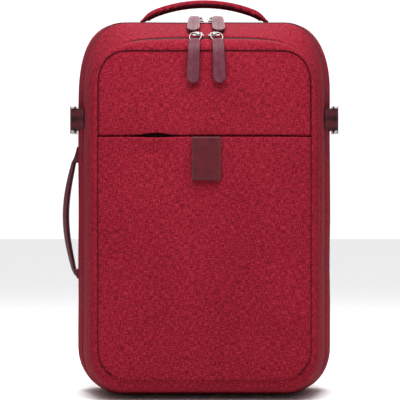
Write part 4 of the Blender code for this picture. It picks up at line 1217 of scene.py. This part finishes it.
# %% Padding by cloth simulation
def plan_block(name, outline, y0, y1, edge, layers=3):
    """A block with a rounded plan; outline is a list of (x, z)."""
    centre = np.mean(outline, axis=0)
    bm = bmesh.new()
    rows = []
    for k in range(layers + 1):
        t = k / layers
        shrink = edge * (1 - math.sqrt(max(0.0, 1 - max(0.0, t - 0.3) ** 2 / 0.49)))
        ring = []
        for x, z in outline:
            d = Vector((centre[0] - x, 0, centre[1] - z)).normalized() * shrink
            ring.append(bm.verts.new((x + d.x, y0 + (y1 - y0) * t, z + d.z)))
        rows.append(ring)
    n = len(outline)
    for a, b in zip(rows, rows[1:]):
        for j in range(n):
            bm.faces.new((a[j], a[(j + 1) % n], b[(j + 1) % n], b[j]))
    bm.faces.new(rows[0][::-1])
    bm.faces.new(rows[-1])
    bmesh.ops.recalc_face_normals(bm, faces=bm.faces)
    return kept(name, bm)


def superellipse(x0, x1, z0, z1, power=4.0, count=64, waist=0.0):
    points = []
    for k in range(count):
        t = 2 * math.pi * k / count
        c, s = math.cos(t), math.sin(t)
        u = math.copysign(abs(c) ** (2 / power), c)
        v = math.copysign(abs(s) ** (2 / power), s)
        u *= 1 - waist * (1 - v * v)
        points.append(((x0 + x1 + u * (x1 - x0)) / 2, (z0 + z1 + v * (z1 - z0)) / 2))
    return points


def puffed(name, start, held, cap, look, voxel=0.004, pressure=4.0):
    """Remesh, blow up as cloth with part of it held, cap the movement, subdivide once."""
    piece = link(name, start)
    remesh = piece.modifiers.new("even", "REMESH")
    remesh.mode, remesh.voxel_size = "VOXEL", voxel
    even = applied(piece)
    piece.modifiers.clear()
    piece.data = even
    rest = np.array([v.co for v in even.vertices])
    group = piece.vertex_groups.new(name="held")
    group.add([v.index for v in even.vertices if held(v.co)], 1.0, "REPLACE")
    cloth = piece.modifiers.new("cover", "CLOTH")
    cloth.settings.use_pressure = True
    cloth.settings.uniform_pressure_force = pressure
    cloth.settings.effector_weights.gravity = 0.0
    cloth.settings.vertex_group_mass = "held"
    cloth.point_cache.frame_start, cloth.point_cache.frame_end = 1, 20
    for k in range(1, 21):
        bpy.context.scene.frame_set(k)
    blown = applied(piece)
    moved = np.array([v.co for v in blown.vertices]) - rest
    far = np.linalg.norm(moved, axis=1)
    scale = np.minimum(1.0, cap / np.maximum(far, 1e-9))
    rest = rest + moved * scale[:, None]
    bpy.context.scene.frame_set(1)
    piece.modifiers.clear()
    piece.vertex_groups.clear()
    bpy.data.meshes.remove(blown)
    print(name, "swelled by up to", round(float(far.max() * 1000), 1), "mm, capped at", cap * 1000)
    for v, co in zip(even.vertices, rest):
        v.co = co
    smoother = piece.modifiers.new("round", "SUBSURF")
    smoother.levels = smoother.render_levels = 1
    final = applied(piece)
    piece.modifiers.clear()
    piece.data = final
    final.materials.clear()
    final.materials.append(look)
    final.shade_smooth()
    cloth_map(final, [(v.co.x + 0.7 * v.co.y, v.co.z + 0.7 * v.co.y) for v in final.vertices])
    return piece


def channel(piece, axis, place, depth, width):
    """Presses a sewn line into the pad's outer face, where x or z equals place."""
    k = "xyz".index(axis)
    for v in piece.data.vertices:
        out = v.co.y - BACK_Y
        if out > 0.003:
            v.co.y -= depth * math.exp(-((v.co[k] - place) / width) ** 2) * min(1.0, out / 0.009)


for node in ("upper_back_pad_left", "upper_back_pad_right", "lumbar_pad"):
    low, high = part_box(node)
    margin = 0.0022
    outline = superellipse(low[0] + margin, high[0] - margin, low[2] + margin, high[2] - margin, 5.0)
    base_y = low[1] + 0.0001
    block = plan_block(node, outline, base_y, high[1] - 0.0036, 0.0030)
    pad = puffed(node + "_cover", block, lambda co, y=base_y: co.y < y + 0.0012, 0.0036, MESH)
    for v in pad.data.vertices:
        v.co.y = max(v.co.y, base_y)
    axis, seams = ("x", (-0.046, 0.0, 0.046)) if node == "lumbar_pad" else ("z", (0.300, 0.343))
    for seam_place in seams:
        channel(pad, axis, seam_place, 0.0036, 0.0036)
    settle(pad, "root", (node,))
    rim_line = [(x, base_y + 0.0012, z) for x, z in
                superellipse(low[0] + 0.0014, high[0] - 0.0014, low[2] + 0.0014, high[2] - 0.0014, 5.0, 96)]
    piping = rod(node + "_piping", rim_line, 0.0012, BINDING, closed=True, sides=8, face=(0, 1, 0))
    settle(piping, "root")

# %% [markdown]
# A shoulder strap is a long curved pad: thick foam between a fabric face and a mesh lining, edges bound in
# tape. The sweep gives its curve, and the simulation rounds the foam out against its bound edges.

# %% Shoulder straps
ROUTE = ((0.040, 0.0990, 0.412), (0.046, 0.1130, 0.399), (0.054, 0.1240, 0.365), (0.066, 0.1300, 0.310),
         (0.079, 0.1290, 0.250), (0.089, 0.1220, 0.200), (0.094, 0.1170, 0.160))
STRAP_WIDTHS = (0.0560, 0.0555, 0.0535, 0.0500, 0.0460, 0.0430, 0.0395)
for word, side in SIDES:
    route = [(side * x, y, z) for x, y, z in ROUTE]
    core, core_place, core_total = strap(f"shoulder_{word}_core", route, STRAP_WIDTHS,
                                         (0.0070, 0.0074, 0.0074, 0.0074, 0.0070, 0.0066, 0.0050),
                                         (1, 0, 0), (RED,), step=0.004, corner=(0.004, 0.010), flats=12)
    pad = puffed(f"shoulder_{word}_pad", core.data, lambda co: False, 0.0017, RED, voxel=0.0045, pressure=3.0)
    bpy.data.objects.remove(core, do_unlink=True)
    pad.data.materials.append(MESH)
    for p in pad.data.polygons:
        if p.normal.y < -0.25:
            p.material_index = 1
    settle(pad, "root", (f"shoulder_strap_{word}",))
    for edge, edge_side in (("in", -1), ("out", 1)):
        line = []
        for s in np.linspace(0.003, core_total - 0.003, 70):
            w = np.interp(s / core_total, np.linspace(0, 1, len(STRAP_WIDTHS)), STRAP_WIDTHS) / 2
            end = core_total - s
            if end < 0.010:
                w -= 0.010 * (1 - math.sqrt(max(1 - (1 - end / 0.010) ** 2, 0.0)))
            line.append(core_place(s, edge_side * (w + 0.0004), -0.0034))
        bound = rod(f"shoulder_{word}_binding_{edge}", line, 0.0017, BINDING, sides=10, face=(0, 1, 0))
        settle(bound, "root")
    tail = strap(f"shoulder_{word}_tail", [(side * 0.0938, 0.1176, 0.166), (side * 0.0950, 0.1166, 0.156),
                                           (side * 0.0956, 0.1160, 0.1535)],
                 0.025, 0.0015, (1, 0, 0), (WEBBING,), step=0.003)[0]
    settle(tail, "root")

# %% Luggage strap
low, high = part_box("luggage_strap")
reach, out, mid_z = high[0] - 0.0007, high[1] - 0.0013, (low[2] + high[2]) / 2
route = [(-reach, BACK_Y + 0.0014, mid_z), (-reach + 0.006, BACK_Y + 0.010, mid_z),
         (-reach + 0.020, out, mid_z), (0.0, out, mid_z), (reach - 0.020, out, mid_z),
         (reach - 0.006, BACK_Y + 0.010, mid_z), (reach, BACK_Y + 0.0014, mid_z)]
sleeve, sleeve_place, sleeve_total = strap("luggage_strap_cloth", route, high[2] - low[2], 0.0016, (0, 0, 1),
                                           (RED, BINDING), step=0.004, flats=20)
settle(sleeve, "root", ("luggage_strap",))
for word, z_side in (("low", -1), ("high", 1)):
    a = z_side * ((high[2] - low[2]) / 2 - 0.004)
    stitched_line(f"luggage_stitches_{word}", [(0.024, a), (sleeve_total - 0.024, a)], sleeve_place, "root")

# %% [markdown]
# ## Inside
# Seen only when the bag is open: a lined wall between the two compartments, a padded sleeve for a computer
# and a pocket of open mesh.

# %% Inside pieces
wall = panel("compartment_wall", ring_at(-0.060).inset(WALL + EDGE + 0.001), LID_FOLD_Z + 0.002,
             ring_at(-0.060).high - WALL - EDGE - 0.001, lambda x, z: -0.0600, 0.0014, (LINING,), columns=40,
             row_step=0.012, edge_drop=0.0)
droop(wall)
settle(wall, "lid", ("pocket_back_wall",))


def pouch(name, low, high, wall, look, rim_look, belly, cells=(26, 30)):
    """An open-topped pouch: flat back, sides and base, and a front that bellies a little."""
    def shell(a, b, front_out):
        x0, y0, z0 = a
        x1, y1, z1 = b
        grid = []
        for i in range(cells[1] + 1):
            v = i / cells[1]
            z = z0 + (z1 - z0) * v
            around = [(x0 + (x1 - x0) * k / cells[0], y1) for k in range(cells[0] + 1)]
            around += [(x1, y1 + (y0 - y1) * k / 4) for k in (1, 2, 3)]
            for k in range(cells[0] + 1):
                u = 1 - k / cells[0]
                x = x0 + (x1 - x0) * u
                out = front_out * math.sin(math.pi * u) * math.sin(math.pi * (0.15 + 0.6 * v))
                around.append((x, y0 - out))
            around += [(x0, y0 + (y1 - y0) * k / 4) for k in (1, 2, 3)]
            grid.append([(x, y, z) for x, y in around])
        return np.array(grid)

    outer = shell(low, high, belly)
    inner_low = [low[0] + wall, low[1] + wall, low[2] + wall]
    inner_high = [high[0] - wall, high[1] - wall, high[2]]
    inner = shell(inner_low, inner_high, belly)
    rows, columns = outer.shape[:2]
    verts = np.concatenate([outer.reshape(-1, 3), inner.reshape(-1, 3)])
    count = rows * columns
    faces = []
    for i in range(rows - 1):
        for j in range(columns):
            k = (j + 1) % columns
            a, b, c, d = i * columns + j, i * columns + k, (i + 1) * columns + k, (i + 1) * columns + j
            faces += [(a, b, c, d), (a + count, d + count, c + count, b + count)]
    top = (rows - 1) * columns
    for j in range(columns):
        k = (j + 1) % columns
        faces.append((top + j, top + k, top + k + count, top + j + count))
    faces += [tuple(range(columns))[::-1], tuple(j + count for j in range(columns))]
    mesh = shape(name, verts.tolist(), faces, (look,))
    cloth_map(mesh, np.column_stack([verts[:, 0] + verts[:, 1], verts[:, 2]]))
    all_outward(mesh)
    outward(mesh)
    made = link(name, mesh)
    rim_path = [tuple(p) for p in (outer[-1] + inner[-1]) / 2]
    bound = rod(name + "_binding", rim_path, wall * 0.5 + 0.0008, rim_look, closed=True, sides=8,
                face=(0, 0, 1))
    return made, bound


low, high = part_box("laptop_sleeve")
sleeve_body, sleeve_rim = pouch("computer_sleeve", [low[0] + 0.001, low[1] + 0.003, low[2]],
                                [high[0] - 0.001, high[1] - 0.0012, high[2] - 0.0018], 0.002, LINING,
                                BINDING, 0.0024)
settle(sleeve_body, "root", ("laptop_sleeve",))
settle(sleeve_rim, "root")
low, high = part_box("lid_mesh_pocket")
net, net_rim = pouch("mesh_pocket", [-high[0], -high[1], low[2]], [-low[0], -low[1], high[2] - 0.0014], 0.001,
                     MESH, BINDING, 0.0)
for piece in (net, net_rim):  # made with its belly forwards: turned to face the rear compartment
    for v in piece.data.vertices:
        v.co.y = -v.co.y
    piece.data.flip_normals()
settle(net, "lid", ("lid_mesh_pocket",))
settle(net_rim, "lid")


# %% [markdown]
# ## Studio
# A white floor under a white sky. The sky is darker to both sides, as black flags beside a product shoot
# make it, so the sides fall off, and it is brightest overhead. A low white backdrop runs all round under the
# flags. A soft box above and in front lights the top most. A long lens stands far away, at the height of the
# bag's middle.

# %% Floor, light and camera
PAPER, paper_tree, paper_sockets = finish("white seamless paper", Roughness=0.9, Specular_IOR_Level=0.1)
place = add(paper_tree, "ShaderNodeTexCoord").outputs["Object"]
fibre = add(paper_tree, "ShaderNodeTexNoise", Vector=place, Scale=40.0, Detail=4.0).outputs["Fac"]
tone = add(paper_tree, "ShaderNodeValToRGB", {"stops": ((0.0, rgb("F3F3F3")), (1.0, rgb("FBFBFB")))},
           Fac=fibre)
paper_tree.links.new(tone.outputs["Color"], paper_sockets["Base Color"])
FLOOR = 9.0
UNDER = -0.0004  # a hair below the soles, so the two surfaces never coincide
corners = ((-FLOOR, -FLOOR), (FLOOR, -FLOOR), (FLOOR, FLOOR), (-FLOOR, FLOOR))
floor_mesh = shape("studio_floor", [(x, y, UNDER) for x, y in corners], [(0, 1, 2, 3)], (PAPER,))
floor = link("studio_floor", floor_mesh)


def soft_light(name, place, target, size, power):
    data = bpy.data.lights.new(name, "AREA")
    data.shape, data.size, data.size_y, data.energy = "RECTANGLE", size[0], size[1], power
    made = link(name, data)
    made.location = place
    made.rotation_euler = (Vector(target) - Vector(place)).to_track_quat("-Z", "Y").to_euler()


soft_light("top", (0, -0.55, 1.15), (0, -0.06, 0.42), (0.8, 0.5), 16.0)
soft_light("rear", (0, 0.9, 1.4), (0, 0.1, 0.3), (0.9, 0.6), 9.0)

world = bpy.data.worlds.new("studio_sky")
world.use_nodes = True
sky = world.node_tree
facing = add(sky, "ShaderNodeTexCoord").outputs["Generated"]
parts = add(sky, "ShaderNodeSeparateXYZ", Vector=facing)
side_way = add(sky, "ShaderNodeMath", {"operation": "ABSOLUTE"}, _0=parts.outputs["X"]).outputs[0]
flags = add(sky, "ShaderNodeMapRange", Value=side_way, From_Min=0.10, From_Max=0.55, To_Min=1.0, To_Max=0.06)
behind = add(sky, "ShaderNodeMapRange", Value=parts.outputs["Y"], From_Min=-0.8, From_Max=0.2, To_Min=0.80,
             To_Max=1.0)
overhead = add(sky, "ShaderNodeMapRange", Value=parts.outputs["Z"], From_Min=0.0, From_Max=1.0, To_Min=1.06,
               To_Max=2.5)
horizon = add(sky, "ShaderNodeMapRange", Value=parts.outputs["Z"], From_Min=0.09, From_Max=0.13, To_Min=1.0,
              To_Max=0.0)  # a low white backdrop all round, under the flags
level = flags
for way, part in (("MULTIPLY", behind), ("MAXIMUM", horizon), ("MULTIPLY", overhead)):
    level = add(sky, "ShaderNodeMath", {"operation": way}, _0=level.outputs[0], _1=part.outputs["Result"])
sky.links.new(level.outputs[0], sky.nodes["Background"].inputs["Strength"])
sky.nodes["Background"].inputs["Color"].default_value = (1.0, 1.0, 1.0, 1.0)
bpy.context.scene.world = world
bpy.context.scene.view_settings.view_transform = "Standard"

lens = bpy.data.cameras.new("camera")
lens.lens, lens.sensor_width = 168.4, 36.0
camera = link("camera", lens)
camera.location = (-0.0052, -2.27, 0.2345)
camera.rotation_euler = (math.pi / 2, 0, 0)
bpy.context.scene.camera = camera
